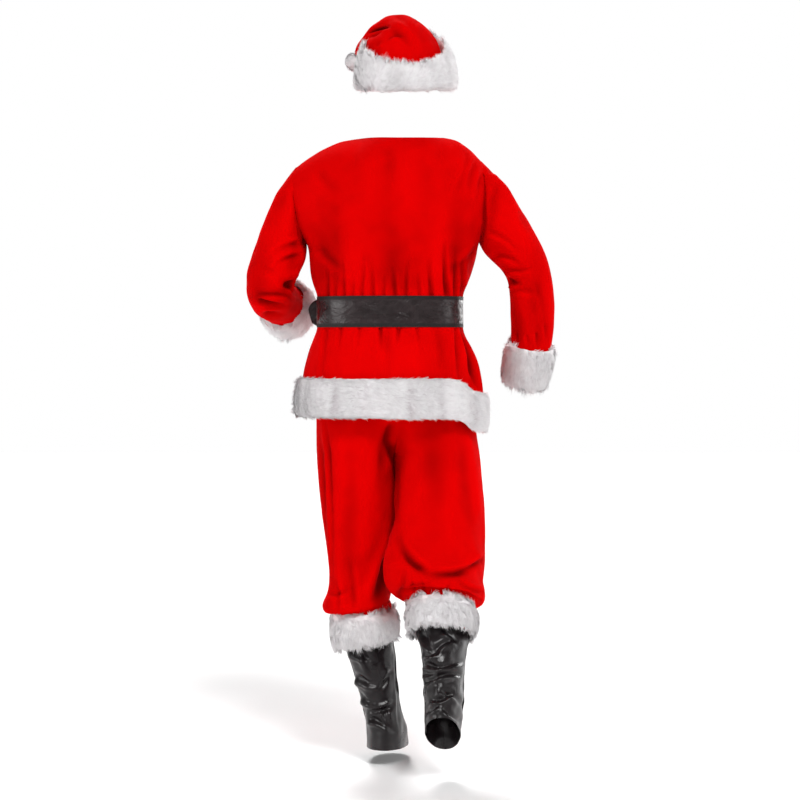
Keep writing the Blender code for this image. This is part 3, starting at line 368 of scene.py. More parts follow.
def make_fur():
    """White pile with painted shade towards the roots, darker and tinted pink like light thrown back from the
    red cloth, carried by each lock.
    """
    m = Nodes("fur")
    # painted shade: from dark pinkish roots to white tips
    colour = m.ramp(m.attribute("shade"), (0.0, SHADED_ROOTS), (0.50, PILE), (1.0, TIPS))
    clump = m.ramp(m.noise(70, 3, 0.6), (0.3, 0.91), (0.65, 1.0))
    wave = m.ramp(m.noise(13, 1, 0.5, stretch=(1, 1, 0.25)), (0.36, 0.86), (0.58, 0.98))
    colour = m.multiply(m.multiply(colour, clump), wave)
    return m.set(Base_Color=colour, Roughness=0.8, Sheen_Weight=0.12, Sheen_Roughness=0.5,
                 Specular_IOR_Level=0.15)


def make_leather():
    """Glossy black-brown with soft blotches, and a darker binding along both edges of the strap."""
    m = Nodes("leather")
    blotch = m.noise(16, 4, 0.6, stretch=(1, 1, 2.2), distort=1.2)
    colour = m.ramp(blotch, (0.35, DARK_LEATHER), (0.7, LEATHER))
    low, high = BINDING
    binding = m.ramp(graded(m.tree, "Object", "Z", STRAP), (0.0, 1.0), (low, 1.0), (low + BINDING_SOFT, 0.0),
                     (high - BINDING_SOFT, 0.0), (high, 1.0))
    colour = m.mix(binding, colour, BOUND)
    rough = m.ramp(m.noise(9, 4, 0.55, stretch=(1, 1, 1.6), distort=1.2), (0.38, 0.17), (0.62, 0.40))
    rough = m.mix(binding, rough, BOUND_ROUGH)
    crease = m.noise(22, 4, 0.55, stretch=(0.8, 0.8, 1.2), distort=1.6)
    normal = m.bump(crease, 0.0060, 0.75)
    normal = m.bump(m.noise(110, 3, 0.6, distort=1.5), 0.0004, 0.5, over=normal)
    normal = m.bump(m.noise(900, 2, 0.5), 0.0002, 0.5, over=normal)
    return m.set(Base_Color=colour, Roughness=rough, Specular_IOR_Level=0.20, Normal=normal)


def make_vinyl():
    """Thin black boot leather with soft crumples."""
    m = Nodes("vinyl")
    colour = m.ramp(m.noise(20, 3, 0.6), (0.3, DARK_BOOT), (0.7, BOOT))
    rough = m.ramp(m.noise(14, 3, 0.5), (0.3, 0.22), (0.7, 0.36))
    crease = m.noise(9, 2, 0.45, stretch=(1, 1, 1.4), distort=0.6)
    normal = m.bump(crease, 0.0120, 0.6)
    normal = m.bump(m.noise(60, 2, 0.5, distort=1.0), 0.0006, 0.4, over=normal)
    normal = m.bump(m.noise(700, 2, 0.5), 0.0002, 0.5, over=normal)
    return m.set(Base_Color=colour, Roughness=rough, Specular_IOR_Level=0.26, Normal=normal)


def make_brass():
    """Yellow metal, brushed in fine level lines."""
    m = Nodes("brass")
    colour = m.ramp(m.noise(40, 4, 0.6), (0.3, DARK_BRASS), (0.7, BRASS))
    rough = m.ramp(m.noise(150, 4, 0.7, stretch=(1, 1, 6)), (0.3, 0.20), (0.7, 0.38))
    return m.set(Base_Color=colour, Metallic=1.0, Roughness=rough)


# ---- meshes

def vectors_of(items, name):
    values = np.empty(len(items) * 3, np.float32)
    items.foreach_get(name, values)
    return values.reshape(-1, 3).astype(float)


def points_of(mesh):
    return vectors_of(mesh.vertices, "co")


def normals_of(mesh):
    return vectors_of(mesh.vertex_normals, "vector")


def triangles_of(mesh):
    mesh.calc_loop_triangles()
    corners = np.empty(len(mesh.loop_triangles) * 3, np.int32)
    mesh.loop_triangles.foreach_get("vertices", corners)
    return corners.reshape(-1, 3)


def place_points(mesh, points):
    mesh.vertices.foreach_set("co", points.astype(np.float32).ravel())


def write_values(mesh, name, values):
    """One number for each point, which a material reads by its name."""
    mesh.attributes.new(name, "FLOAT", "POINT").data.foreach_set("value", values.astype(np.float32))


def shade_smooth(mesh):
    mesh.polygons.foreach_set("use_smooth", [True] * len(mesh.polygons))


def joined(shape, angle):
    """Triangles that meet flatter than an angle, as quads."""
    bmesh.ops.join_triangles(shape, faces=shape.faces[:], angle_face_threshold=angle,
                             angle_shape_threshold=angle)


def merged(node):
    """A solid's mesh for editing, with the points that its triangles share made one."""
    shape = bmesh.new()
    shape.from_mesh(nodes[node].data)
    bmesh.ops.remove_doubles(shape, verts=shape.verts, dist=SAME)
    return shape


def finished(shape, name):
    mesh = bpy.data.meshes.new(name)
    shape.to_mesh(mesh)
    shape.free()
    return mesh


def add_piece(name, mesh, slot):
    piece = placed(name, mesh)
    mesh.materials.clear()
    mesh.materials.append(looks[slot])
    shade_smooth(mesh)
    return piece


def apply_modifiers(piece):
    graph = bpy.context.evaluated_depsgraph_get()
    made = bpy.data.meshes.new_from_object(piece.evaluated_get(graph))
    piece.modifiers.clear()
    piece.data = made


def make_finer(piece, levels, corners="ALL"):
    finer = piece.modifiers.new("finer", "SUBSURF")
    finer.levels = finer.render_levels = levels
    finer.boundary_smooth = corners
    apply_modifiers(piece)


# ---- cloth shells

def is_rim(face, thickness):
    """True for a face across the cloth's wall, at an edge of the sheet."""
    longest = max(edge.calc_length() for edge in face.edges)
    if 2 * face.calc_area() / longest > RIM_WIDE * thickness:
        return False
    return any(len(edge.link_faces) == 2 and edge.calc_face_angle() > RIM_TURN for edge in face.edges)


def outer_sheet(node, thickness):
    """The outer side of a CAD shell as quads: the larger of the two sides that its rim parts."""
    shape = merged(node)
    shape.normal_update()
    shape.faces.ensure_lookup_table()
    part = [0 if is_rim(face, thickness) else -1 for face in shape.faces]
    areas = [0.0]
    for first in shape.faces:
        if part[first.index] >= 0:
            continue
        stack, area = [first], 0.0
        part[first.index] = len(areas)
        while stack:
            face = stack.pop()
            area += face.calc_area()
            for other in (f for edge in face.edges for f in edge.link_faces):
                if part[other.index] < 0:
                    part[other.index] = len(areas)
                    stack.append(other)
        areas.append(area)
    keep = int(np.argmax(areas))
    bmesh.ops.delete(shape, geom=[f for f in shape.faces if part[f.index] != keep], context="FACES")
    joined(shape, FLATTER)
    return finished(shape, node + "_sheet")


def pixels_of(points):
    """Where the camera sees each point in the picture."""
    scale = LENS / SENSOR * PICTURE / (CAMERA[1] - points[:, 1])
    return np.stack([CENTRE[0] - (points[:, 0] - CAMERA[0]) * scale,
                     CENTRE[1] - (points[:, 2] - CAMERA[2]) * scale], axis=-1)


def beside(places, line, across):
    """How far each place is from a line, at what share of the line's length, and on which side of it."""
    best = np.full(len(places), np.inf)
    where = np.zeros(len(places))
    side = np.zeros(len(places))
    for k in range(CREASE_STEPS):
        step = line[k + 1] - line[k]
        share = np.clip((places - line[k]) @ step / max(step @ step, TINY), 0, 1)
        gap = places - (line[k] + share[:, None] * step)
        away = np.linalg.norm(gap, axis=1)
        closer = away < best
        best[closer] = away[closer]
        where[closer] = (k + share[closer]) / CREASE_STEPS
        side[closer] = np.sign(gap[closer] @ across)
    return best, where, side


def creased(points, normals, creases, facing):
    """How far the creases push each point out. Facing is +1 for the back of the suit and -1 for the front."""
    seen = pixels_of(points)
    moved = np.zeros(len(points))
    steps = np.linspace(0, 1, CREASE_STEPS + 1)
    for x0, y0, x1, y1, bend, width, depth, lip in zip(*creases.values()):
        start, end = np.array([x0, y0]), np.array([x1, y1])
        along = end - start
        across = np.array([-along[1], along[0]]) / max(np.linalg.norm(along), TINY)
        line = start + steps[:, None] * along + across * (bend * 4 * steps * (1 - steps))[:, None]
        room = np.abs(along) / 2 + abs(bend) + 4 * width
        index = np.flatnonzero((np.abs(seen - (start + end) / 2) < room).all(axis=1))
        best, where, side = beside(seen[index], line, across)
        fade = np.clip(where * FADE_IN, 0, 1) * np.clip((1 - where) * FADE_OUT, 0, 1)
        signed = best * side / width
        moved[index] += (depth * np.exp(-(signed**2)) + lip * np.exp(-((signed - LIP) ** 2))) * fade
    return moved * CREASE_UNIT * np.clip(facing * normals[:, 1] * TURNED_SOFT + TURNED, 0, 1)


def under_belt(points, moved):
    """Keeps what a crease pushes out from coming through the belt."""
    down = pixels_of(points)[:, 1]
    away = np.maximum(np.maximum(BELT_SPAN[0] - down, down - BELT_SPAN[1]), 0)
    return np.minimum(moved, BELT_ROOM + BELT_RISE * away)


def undulation(points, size, amount):
    """Soft uneven ground all over the cloth: waves of about one size in random directions."""
    height = np.zeros(len(points))
    for _ in range(WAVES):
        direction = unit(random.normal(size=3))
        turns = points @ direction * (2 * math.pi / size)
        height += np.sin(turns * random.uniform(0.6, 1.6) + random.uniform(0, 6.3))
    return height / WAVES**0.5 * amount


def way_out(vertex):
    """From the middle of an edge point's inner neighbours to the point, or None for a point with none."""
    inner = [edge.other_vert(vertex).co for edge in vertex.link_edges if not edge.is_boundary]
    if vertex.is_boundary and inner:
        return vertex.co - sum(inner, Vector()) / len(inner)
    return None


def trim(mesh, tuck):
    """Takes away the edge rows that face along tuck, so that the cloth ends inside its fur."""
    shape = bmesh.new()
    shape.from_mesh(mesh)
    tuck = Vector(tuck).normalized()
    taken = 0.0
    while taken < TUCK:
        row, depth = [], []
        for vertex in shape.verts:
            away = way_out(vertex)
            if away is not None and away.normalized().dot(tuck) > ALONG_TUCK:
                row.append(vertex)
                depth.append(away.length)
        if not row:
            break
        taken += float(np.mean(depth))
        bmesh.ops.delete(shape, geom=row, context="VERTS")
    shape.to_mesh(mesh)
    shape.free()


def edge_moves(mesh, reach):
    """How far each point moves to let the sheet's edges meet their neighbours', and which are on an edge."""
    moves = np.zeros((len(mesh.vertices), 3))
    on_edge = np.zeros(len(mesh.vertices), bool)
    shape = bmesh.new()
    shape.from_mesh(mesh)
    for vertex in shape.verts:
        on_edge[vertex.index] = vertex.is_boundary
        away = way_out(vertex)
        if away is not None:
            moves[vertex.index] = away.normalized() * reach
    shape.free()
    return moves, on_edge


def raised(points, normals, on_edge, height):
    """The sleeve's head, lifted in front and on top so that it meets the shoulder."""
    edge = [i for i in np.flatnonzero(on_edge) if points[i][2] > ARMPIT]
    near = KDTree(len(edge))
    for k, i in enumerate(edge):
        near.insert(points[i], k)
    near.balance()
    share = np.exp(-(np.array([near.find(point)[2] for point in points]) / HEAD_SOFT) ** 2)
    on_top = np.clip(normals[:, 2] * 1.5 + 0.3, 0, 1)
    in_front = np.clip(0.5 - normals[:, 1] * 1.2, 0, 1)
    return height * share * on_top * in_front


def refine(piece, sides):
    """Halves the faces that a narrow crease crosses, so that the crease has a clean form."""
    narrow = [({name: values[creases["width"] < SHARP] for name, values in creases.items()}, facing)
              for creases, facing in sides]
    for _ in range(HALVINGS if sides else 0):
        points, normals = points_of(piece.data), normals_of(piece.data)
        moved = sum(np.abs(creased(points, normals, creases, facing)) for creases, facing in narrow)
        shape = bmesh.new()
        shape.from_mesh(piece.data)
        shape.verts.ensure_lookup_table()
        chosen = {face for index in np.flatnonzero(moved > CROSSED) for face in shape.verts[index].link_faces}
        edges = {edge for face in chosen for edge in face.edges if edge.calc_length() > FINEST}
        bmesh.ops.subdivide_edges(shape, edges=list(edges), cuts=1, use_grid_fill=True, smooth=ROUNDED)
        shape.to_mesh(piece.data)
        shape.free()
        shade_smooth(piece.data)


def pressed(points, normals):
    """The thighs pressed against each other: each leg's inner face moved a little over the middle."""
    across, down = pixels_of(points).T
    near = np.exp(-(((across - MEETING) / BESIDE) ** 2))
    start, end = (down - THIGHS[0]) / THIGH_SOFT[0], (THIGHS[1] - down) / THIGH_SOFT[1]
    height = np.clip(start, 0, 1) * np.clip(end, 0, 1)
    inner = np.clip(np.abs(normals[:, 0]) * 1.4, 0, 1)
    push = np.zeros(points.shape)
    push[:, 0] = np.sign(across - MEETING) * PRESSED * near * height * inner
    return push


def add_wall(piece, thickness):
    """Gives a sheet its wall on the inside, with the sheet's own soft normals on both sides."""
    normals = normals_of(piece.data)
    wall = piece.modifiers.new("wall", "SOLIDIFY")
    wall.thickness = thickness
    wall.offset = -1
    apply_modifiers(piece)
    if len(piece.data.vertices) == 2 * len(normals):
        piece.data.normals_split_custom_set_from_vertices(np.concatenate([normals, -normals]).tolist())


def dress(name, node, slot="plush", levels=2, back=None, front=None, uneven=0.0006, size=0.060,
          thickness=CLOTH, press=False, tuck=None, reach=SEAM_REACH, head=0.0):
    """A cloth piece on its solid's form: finer, creased, and given its wall again.

    The edge that faces along tuck lies inside a fur band and stays short of the band's own edge.
    """
    piece = add_piece(name, outer_sheet(node, thickness), slot)
    make_finer(piece, levels, "PRESERVE_CORNERS")
    sides = [(creases, facing) for creases, facing in ((back, 1), (front, -1)) if creases]
    if tuck:
        trim(piece.data, tuck)
    refine(piece, sides)
    points, normals = points_of(piece.data), normals_of(piece.data)
    moves, on_edge = edge_moves(piece.data, reach)
    moved = undulation(points, size, uneven)
    for creases, facing in sides:
        moved += creased(points, normals, creases, facing)
    if node.startswith("jacket"):
        moved = under_belt(points, moved)
    # painted shade in the hollows and painted light on the ridges, which the plush reads for its colour
    write_values(piece.data, "fold_shading", np.clip(0.5 + moved / FOLD_SHADING_SPAN, 0, 1))
    moved[on_edge] /= 2
    if head:
        moved += raised(points, normals, on_edge, head)
    points += normals * moved[:, None] + moves
    if press:
        points += pressed(points, normals)
    place_points(piece.data, points)
    piece.data.update()
    add_wall(piece, thickness)
    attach(piece, "root")
    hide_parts(node)


# ---- fur

def fur_body(name, node, cloths):
    """The thick of the fur on its solid's form, and each point's height over the nearest of its cloths."""
    shape = merged(node)
    joined(shape, FUR_FLATTER)
    piece = add_piece(name, finished(shape, name), "fur")
    make_finer(piece, 2)
    heights = np.full(len(piece.data.vertices), DEEPEST)
    for cloth in (nodes[each].data for each in cloths):
        tree = BVHTree.FromPolygons([v.co for v in cloth.vertices], [p.vertices[:] for p in cloth.polygons])
        heights = np.minimum(heights, [tree.find_nearest(v.co)[3] or 0.0 for v in piece.data.vertices])
    return piece, heights


def add_fur(name, node, cloths, comb, count, creases=None, **changes):
    """A fur band: a lumpy body, drawn in, with tapered locks over it, combed and gathered in tufts."""
    pile = {**SMOOTH_PILE, **changes}
    piece, heights = fur_body(name, node, cloths)
    points, normals = points_of(piece.data), normals_of(piece.data)
    corners = triangles_of(piece.data)
    corners = corners[heights[corners].min(axis=1) > THIN]
    strands = grow(points, normals, corners, heights, comb, count, **pile)
    # the creases move nothing here: they only paint shade and light into the locks' shade
    if creases:
        marks = creased(strands["root"], strands["normal"], creases, 1) / MARK_DEPTH
        strands["shade"] += np.clip(marks, *MARK_RANGE)
    points -= normals * (np.clip(heights - THIN, 0, None) * pile["deep"])[:, None]
    points += normals * (undulation(points, *LUMPS) * (heights > LUMPY))[:, None]
    place_points(piece.data, points)
    join_strands(piece, strands)
    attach(piece, "root")
    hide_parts(node)


def scatter(points, normals, corners, heights, count):
    """Random places on the given triangles, with the normal and the fur's height at each."""
    a, b, c = (points[corners[:, k]] for k in range(3))
    areas = np.linalg.norm(np.cross(b - a, c - a), axis=1)
    pick = random.choice(len(corners), count, p=areas / areas.sum())
    u, v = random.random(count), random.random(count)
    over = u + v > 1
    u[over], v[over] = 1 - u[over], 1 - v[over]
    share = np.stack([1 - u - v, u, v], axis=1)
    chosen = corners[pick]
    place = (points[chosen] * share[..., None]).sum(axis=1)
    normal = unit((normals[chosen] * share[..., None]).sum(axis=1))
    return place, normal, (heights[chosen] * share).sum(axis=1)


def tufts_of(place, tuft):
    """For each lock, which lock is the middle of its tuft."""
    seeds = random.choice(len(place), max(8, len(place) // tuft), replace=False)
    tree = KDTree(len(seeds))
    for i, seed in enumerate(seeds):
        tree.insert(place[seed], i)
    tree.balance()
    return np.array([seeds[tree.find(p)[1]] for p in place])


def combed(place, normal, comb, down, ruff, stray):
    """The way each lock lies along the fur's face. Ruff turns those of the rim away from down."""
    comb = np.array(comb(place) if callable(comb) else comb, float)
    down = np.array(down, float) / np.linalg.norm(down)
    rim = (np.clip(-(normal @ down) * 1.8 - 0.2, 0, 1) * ruff)[:, None]
    comb = unit(np.broadcast_to(comb, place.shape)) * (1 - rim) - down * rim * 1.3
    comb += random.normal(size=place.shape) * stray * 0.6
    return unit(comb - (comb * normal).sum(axis=1, keepdims=True) * normal)


def grow(points, normals, corners, heights, comb, count, length, width, stray, deep, tuft, pull, down, ruff,
         lift):
    """Each lock's points and facing: root, middle and tip, set on random places of the given triangles.

    Deep is the share of the fur's height that the locks cover, pull is how far they lean to their tuft, and
    lift raises some tips.
    """
    place, normal, height = scatter(points, normals, corners, heights, count)
    flat = combed(place, normal, comb, down, ruff, stray)
    near = tufts_of(place, tuft)
    flat = unit(flat + 1.2 * flat[near])
    long = length * random.uniform(0.6, 1.15, count)[:, None]
    edge = np.clip(np.abs(normal[:, 2:]) * 1.6 - 0.5, 0, 1)
    root = place - normal * (np.clip(height - THIN, 0, None) * deep + SUNK)[:, None]
    rise = deep * np.clip(height, LUMPY, None)[:, None]
    middle = root + normal * rise * (0.8 + 0.5 * edge) + flat * long * 0.42
    tip = root + normal * rise * random.uniform(0.75, 1.25, count)[:, None] + flat * long
    tip += normal * long * random.uniform(0, 1, count)[:, None] ** 2 * lift
    tip += normal * edge * long * random.uniform(0.0, HIGHEST, count)[:, None]
    tuft_tip = place[near] + flat[near] * length * 0.95 + normal[near] * 0.0008
    share = random.uniform(*pull, count)[:, None]
    close = np.linalg.norm(place - place[near], axis=1) < TUFT_REACH
    tip[close] = tip[close] * (1 - share[close]) + tuft_tip[close] * share[close]
    side = unit(np.cross(tip - root, normal) + random.normal(size=place.shape) * 0.3 * length)
    wrong = (np.cross(side, tip - root) * (normal + 0.3 * flat)).sum(axis=1) < 0
    side[wrong] = -side[wrong]
    half = width / 2 * random.uniform(0.6, 1.3, count)[:, None]
    facing = unit(normal + 0.30 * flat + random.normal(size=place.shape) * 0.13)
    shade = random.uniform(-0.10, 0.10, count) + random.uniform(-0.14, 0.14, count)[near]
    return {"root": root, "middle": middle, "tip": tip, "side": side * half, "normal": facing,
            "shade": shade}


def join_strands(piece, strands):
    """Adds the locks to the piece, each two flat facets that taper to a point."""
    mesh = piece.data
    points, normals = points_of(mesh), normals_of(mesh)
    side = strands["side"]
    locks = np.stack([strands["root"] - side, strands["root"] + side, strands["middle"] + side * 0.9,
                      strands["middle"] - side * 0.9, strands["tip"]], axis=1).reshape(-1, 3)
    lock_normals = np.repeat(strands["normal"], 5, axis=0)
    first = len(points) + np.arange(len(side)) * 5
    quads = np.stack([first, first + 1, first + 2, first + 3], axis=1)
    tips = np.stack([first + 3, first + 2, first + 4], axis=1)
    faces = [tuple(p.vertices) for p in mesh.polygons] + quads.tolist() + tips.tolist()
    made = bpy.data.meshes.new(piece.name)
    made.from_pydata(np.concatenate([points, locks]).tolist(), [], faces)
    made.materials.append(mesh.materials[0])
    shade_smooth(made)
    made.normals_split_custom_set_from_vertices(np.concatenate([normals, lock_normals]).tolist())
    # painted shade from dark roots to light tips, added to each lock's random tone
    lock_shades = (np.array(LOCK_SHADES)[None, :] + strands["shade"][:, None]).ravel()
    write_values(made, "shade", np.concatenate([np.full(len(points), BODY_SHADE), lock_shades]))
    piece.data = made


def add_pompom(name, node, comb, count):
    """The hat's ball: a round core with locks that stand out all over it."""
    corners = points_of(nodes[node].data)
    low, high = corners.min(axis=0), corners.max(axis=0)
    shape = bmesh.new()
    bmesh.ops.create_icosphere(shape, subdivisions=4, radius=float((high - low).mean()) / 2 * CORE)
    bmesh.ops.translate(shape, vec=Vector((low + high) / 2), verts=shape.verts)
    piece = add_piece(name, finished(shape, name), "fur")
    points, normals = points_of(piece.data), normals_of(piece.data)
    heights = np.full(len(points), POMPOM_DEEP)
    strands = grow(points, normals, triangles_of(piece.data), heights, comb, count, **POMPOM_PILE)
    points += normals * undulation(points, *POMPOM_LUMPS)[:, None]
    place_points(piece.data, points)
    join_strands(piece, strands)
    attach(piece, "root")
    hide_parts(node)


# ---- creases, in the picture's frame

JACKET_BACK = table(
    # gathers above the belt, deepest where the strap draws them in
    (327, 306, 324, 260, 1, 2.2, -3.6, 1.4), (334, 306, 336, 274, 0, 1.9, -2.4, 1.0),
    (344, 306, 341, 256, 1, 2.1, -3.6, 1.4), (352, 306, 354, 270, 0, 1.8, -2.8, 1.2),
    (360.5, 306, 363, 254, 1, 2.1, -3.4, 1.4), (373, 306, 370, 260, 1, 2.2, -3.4, 1.4),
    (383, 306, 385, 272, 0, 1.8, -2.6, 1.2), (396, 306, 393, 266, 0, 2.1, -4.0, 1.8),
    (406, 306, 409, 256, -1, 2.0, -3.4, 1.4), (420, 306, 418, 270, 0, 1.8, -2.6, 1.2),
    (434, 306, 430.5, 252, -2, 2.4, -5.4, 2.2), (449.5, 306, 445, 236, -2, 2.5, -6.4, 2.8),
    (455, 306, 457, 248, 1, 2.0, -4.6, 2.0), (461, 306, 465, 256, 1, 2.0, -4.6, 2.0),
    (467, 306, 471, 268, 1, 1.8, -3.4, 1.4),
    # soft drags from the armholes and the shoulders
    (316, 244, 352, 272, 5, 4.0, -2.4, 1.4), (482, 240, 452, 270, -5, 3.6, -2.8, 1.6),
    (478, 158, 470, 196, 3, 3.2, -3.0, 2.0), (468, 152, 452, 196, -4, 4.0, -2.2, 1.4),
    (484, 170, 478, 206, 2, 2.6, -2.2, 1.6), (318, 166, 346, 196, 4, 6.0, -2.0, 1.2),
    # the broad hollows and rises of the back
    (318, 296, 322, 180, 0, 7.0, -2.0, 0.0), (474, 296, 476, 190, 0, 6.0, -2.6, 0.0),
    (400, 296, 402, 230, 0, 34.0, -1.6, 0.0), (470, 392, 468, 340, 0, 7.0, -2.6, 0.0),
    (333, 300, 331, 176, 2, 11.0, -3.4, 0.0), (352, 300, 349, 180, -3, 10.0, 1.8, 0.0),
    (392, 300, 388, 190, 2, 12.0, -2.8, 0.0), (412, 142, 404, 250, 3, 12.0, 2.2, 0.0),
    (368, 142, 372, 230, 0, 13.0, 2.0, 0.0), (457, 300, 463, 170, -2, 11.0, -4.0, 0.0),
    (436, 300, 440, 180, 0, 9.0, 1.8, 0.0), (388, 142, 392, 200, 0, 8.0, -2.2, 0.0),
    # folds below the belt
    (327, 322, 322, 378, 1, 2.6, -2.6, 1.6), (341, 322, 338, 352, 0, 2.0, -2.6, 1.0),
    (360, 322, 356, 356, 0, 2.0, -2.2, 1.0), (379.6, 320, 381, 352, 0, 2.2, -5.0, 2.0),
    (399, 320, 397, 346, 0, 2.2, -5.4, 2.2), (388, 326, 390, 380, 1, 5.0, -2.2, 1.0),
    (416, 322, 421, 356, 0, 1.9, -2.4, 1.0), (436, 322, 442, 380, -2, 5.0, -2.6, 1.2),
    (362, 330, 350, 380, 2, 9.0, 2.0, 0.0), (414, 334, 420, 382, 0, 9.0, 2.0, 0.0),
    (456, 320, 461, 392, 1, 2.6, -5.6, 3.4), (461, 320, 485, 402, 3, 2.8, -6.4, 4.4),
    (463, 334, 474, 400, -2, 3.4, -4.4, 2.4), (313, 330, 304, 380, 2, 2.4, -2.8, 1.8),
)
JACKET_FRONT = table(
    (334, 296, 332, 262, 1, 2.2, -2.4, 1.0), (356, 296, 358, 256, 2, 2.2, -2.4, 1.0),
    (378, 296, 380, 266, 0, 2.0, -2.2, 1.0), (404, 296, 402, 262, 0, 2.0, -2.2, 1.0),
    (424, 296, 422, 258, -1, 2.2, -2.4, 1.0), (446, 296, 443, 262, -1, 2.2, -2.4, 1.0),
    (322, 226, 352, 258, 5, 4.0, -2.2, 1.4), (478, 226, 448, 258, -5, 4.0, -2.2, 1.4),
    (350, 176, 386, 196, 6, 5.0, -1.6, 1.2), (448, 176, 412, 196, -6, 5.0, -1.6, 1.2),
    (352, 329, 348, 356, 0, 2.4, -2.4, 1.2), (420, 329, 424, 354, 0, 2.4, -2.2, 1.0),
    (446, 329, 452, 366, -2, 2.6, -2.6, 1.6), (328, 332, 320, 370, 2, 2.8, -2.4, 1.4),
)
SLEEVE_LEFT = table(
    (296, 287, 283, 292, 3, 3.6, -7.4, 3.0), (252, 299, 291, 305, 3, 2.6, -7.0, 3.6),
    (262, 312, 288, 312, 3, 5.0, -4.0, 0.0),
    (258, 312, 262, 232, -3, 10.0, -3.0, 0.0), (292, 276, 296, 200, 2, 7.0, -3.0, 0.0),
    (276, 300, 280, 210, 0, 6.0, 1.6, 0.0),
    (302, 301, 247, 297, 3, 2.8, -8.0, -2.0), (300, 300, 250, 302, 3, 2.6, 4.5, 0.0),
    (306, 286, 278, 284, 2, 4.6, -9.0, 2.4),
    (294, 289, 303, 296, 3, 2.6, -5.0, 3.0), (306, 244, 266, 262, 6, 3.0, -3.0, 2.2),
    (258, 247, 248, 262, 3, 2.6, -1.4, 2.6), (304, 256, 270, 274, 6, 2.6, -3.0, 2.4),
    (307, 251, 296, 214, 3, 2.8, -5.4, 3.0), (302, 214, 292, 190, 3, 2.6, -3.0, 2.2),
    (288, 190, 272, 224, 3, 5.0, -1.8, 1.2), (252, 306, 290, 312, -3, 3.4, -2.4, 2.0),
    (262, 268, 282, 284, -4, 4.0, -1.6, 1.2), (262, 314, 292, 318, -2, 2.6, -2.0, 1.4),
)
SLEEVE_RIGHT = table(
    (540, 350, 536, 236, -3, 9.0, -3.6, 0.0), (518, 346, 514, 290, 0, 6.0, -2.0, 0.0),
    (494, 160, 520, 240, -4, 6.0, 2.4, 0.0), (488, 240, 488, 170, 2, 6.0, -2.4, 0.0),
    (486, 232, 520, 256, -5, 3.0, -2.4, 1.8), (492, 256, 522, 268, -4, 2.8, -3.4, 2.4),
    (506, 279, 522, 283, 2, 3.0, -6.6, 2.8), (504, 268, 536, 264, 5, 2.4, -3.0, 2.2),
    (510, 292, 542, 298, -4, 3.2, -2.2, 1.8), (482, 243, 480, 158, -11, 2.8, -3.2, 2.4),
    (487, 172, 504, 178, -3, 2.6, -2.8, 2.0), (486, 164, 498, 168, -2, 2.2, -2.2, 1.6),
    (500, 180, 496, 222, 4, 4.0, -2.0, 1.4), (516, 210, 534, 246, -3, 4.6, -1.6, 1.2),
    (536, 280, 548, 336, -2, 3.4, -1.8, 1.2), (536.5, 332, 538, 350, 0, 1.8, -3.0, 1.6),
    (514, 330, 518, 348, 0, 2.0, -2.6, 1.6), (546, 322, 548, 346, 0, 2.0, -2.2, 1.4),
    (526, 334, 528, 348, 0, 1.8, -2.0, 1.2),
)
TROUSERS_LEFT = table(
    (320, 420, 324, 590, 0, 6.0, -3.0, 0.0), (382, 420, 384, 540, 0, 7.0, -2.6, 0.0),
    (324.5, 410, 331.5, 600, -3, 2.2, -4.0, 2.8), (319, 440, 326, 560, -1, 1.8, -2.0, 1.6),
    (392, 420, 391, 462, 3, 4.0, -6.0, 1.6), (389, 440, 396, 486, -2, 3.4, -5.4, 1.6),
    (398, 520, 372, 604, -6, 6.2, -9.6, 4.0), (386, 552, 371, 606, -4, 5.6, -7.0, 2.6),
    (348, 614, 349, 430, 1, 9.0, -3.0, 0.0), (366, 420, 368, 560, 1, 8.0, 2.4, 0.0),
    (338, 430, 338, 560, 0, 5.0, 1.8, 0.0), (354, 612, 346, 556, 4, 3.0, -2.6, 1.8),
    (338, 612, 332, 572, 2, 2.6, -2.6, 1.6), (326, 594, 352, 586, 3, 2.6, -2.8, 1.6),
    (384, 420, 376, 500, -3, 5.0, -2.4, 1.4),
)
TROUSERS_RIGHT = table(
    (436, 412, 442, 540, 2, 15.0, -2.2, 0.0), (466, 410, 462, 500, -2, 8.0, -1.6, 0.0),
    (400, 410, 401, 500, 0, 5.0, -1.6, 0.0),
    # the thigh's cloth, hanging over the gathered part below it
    (430, 574, 396, 528, -7, 4.2, -8.6, 4.4), (470, 570, 422, 574.5, -2, 3.8, -8.0, 4.2),
    (488, 556, 454, 572.5, -3, 3.4, -6.4, 3.4),
    (486, 592, 456, 578, -4, 2.6, -4.4, 2.4), (400, 592, 438, 586, -3, 2.6, -4.0, 2.4),
    (414, 596, 410, 578, 1, 2.0, -3.0, 1.6), (424, 594, 421, 580, 1, 1.8, -2.8, 1.4),
    (446, 592, 450, 580, 1, 2.0, -2.6, 1.4), (398, 600, 404, 562, 3, 3.0, -3.2, 2.0),
    # the ridges down the thigh
    (480, 530, 463, 420, 3, 4.6, 3.4, 0.0), (472, 530, 452, 424, 3, 6.5, -2.2, 0.0),
    (408, 430, 406, 540, 0, 5.0, 2.2, 0.0),
    (430, 430, 436, 560, 2, 10.0, -1.6, 0.0), (450, 470, 458, 560, 2, 6.0, 2.2, 0.0),
    (397, 460, 398, 530, 1, 3.0, -2.6, 0.0),
)
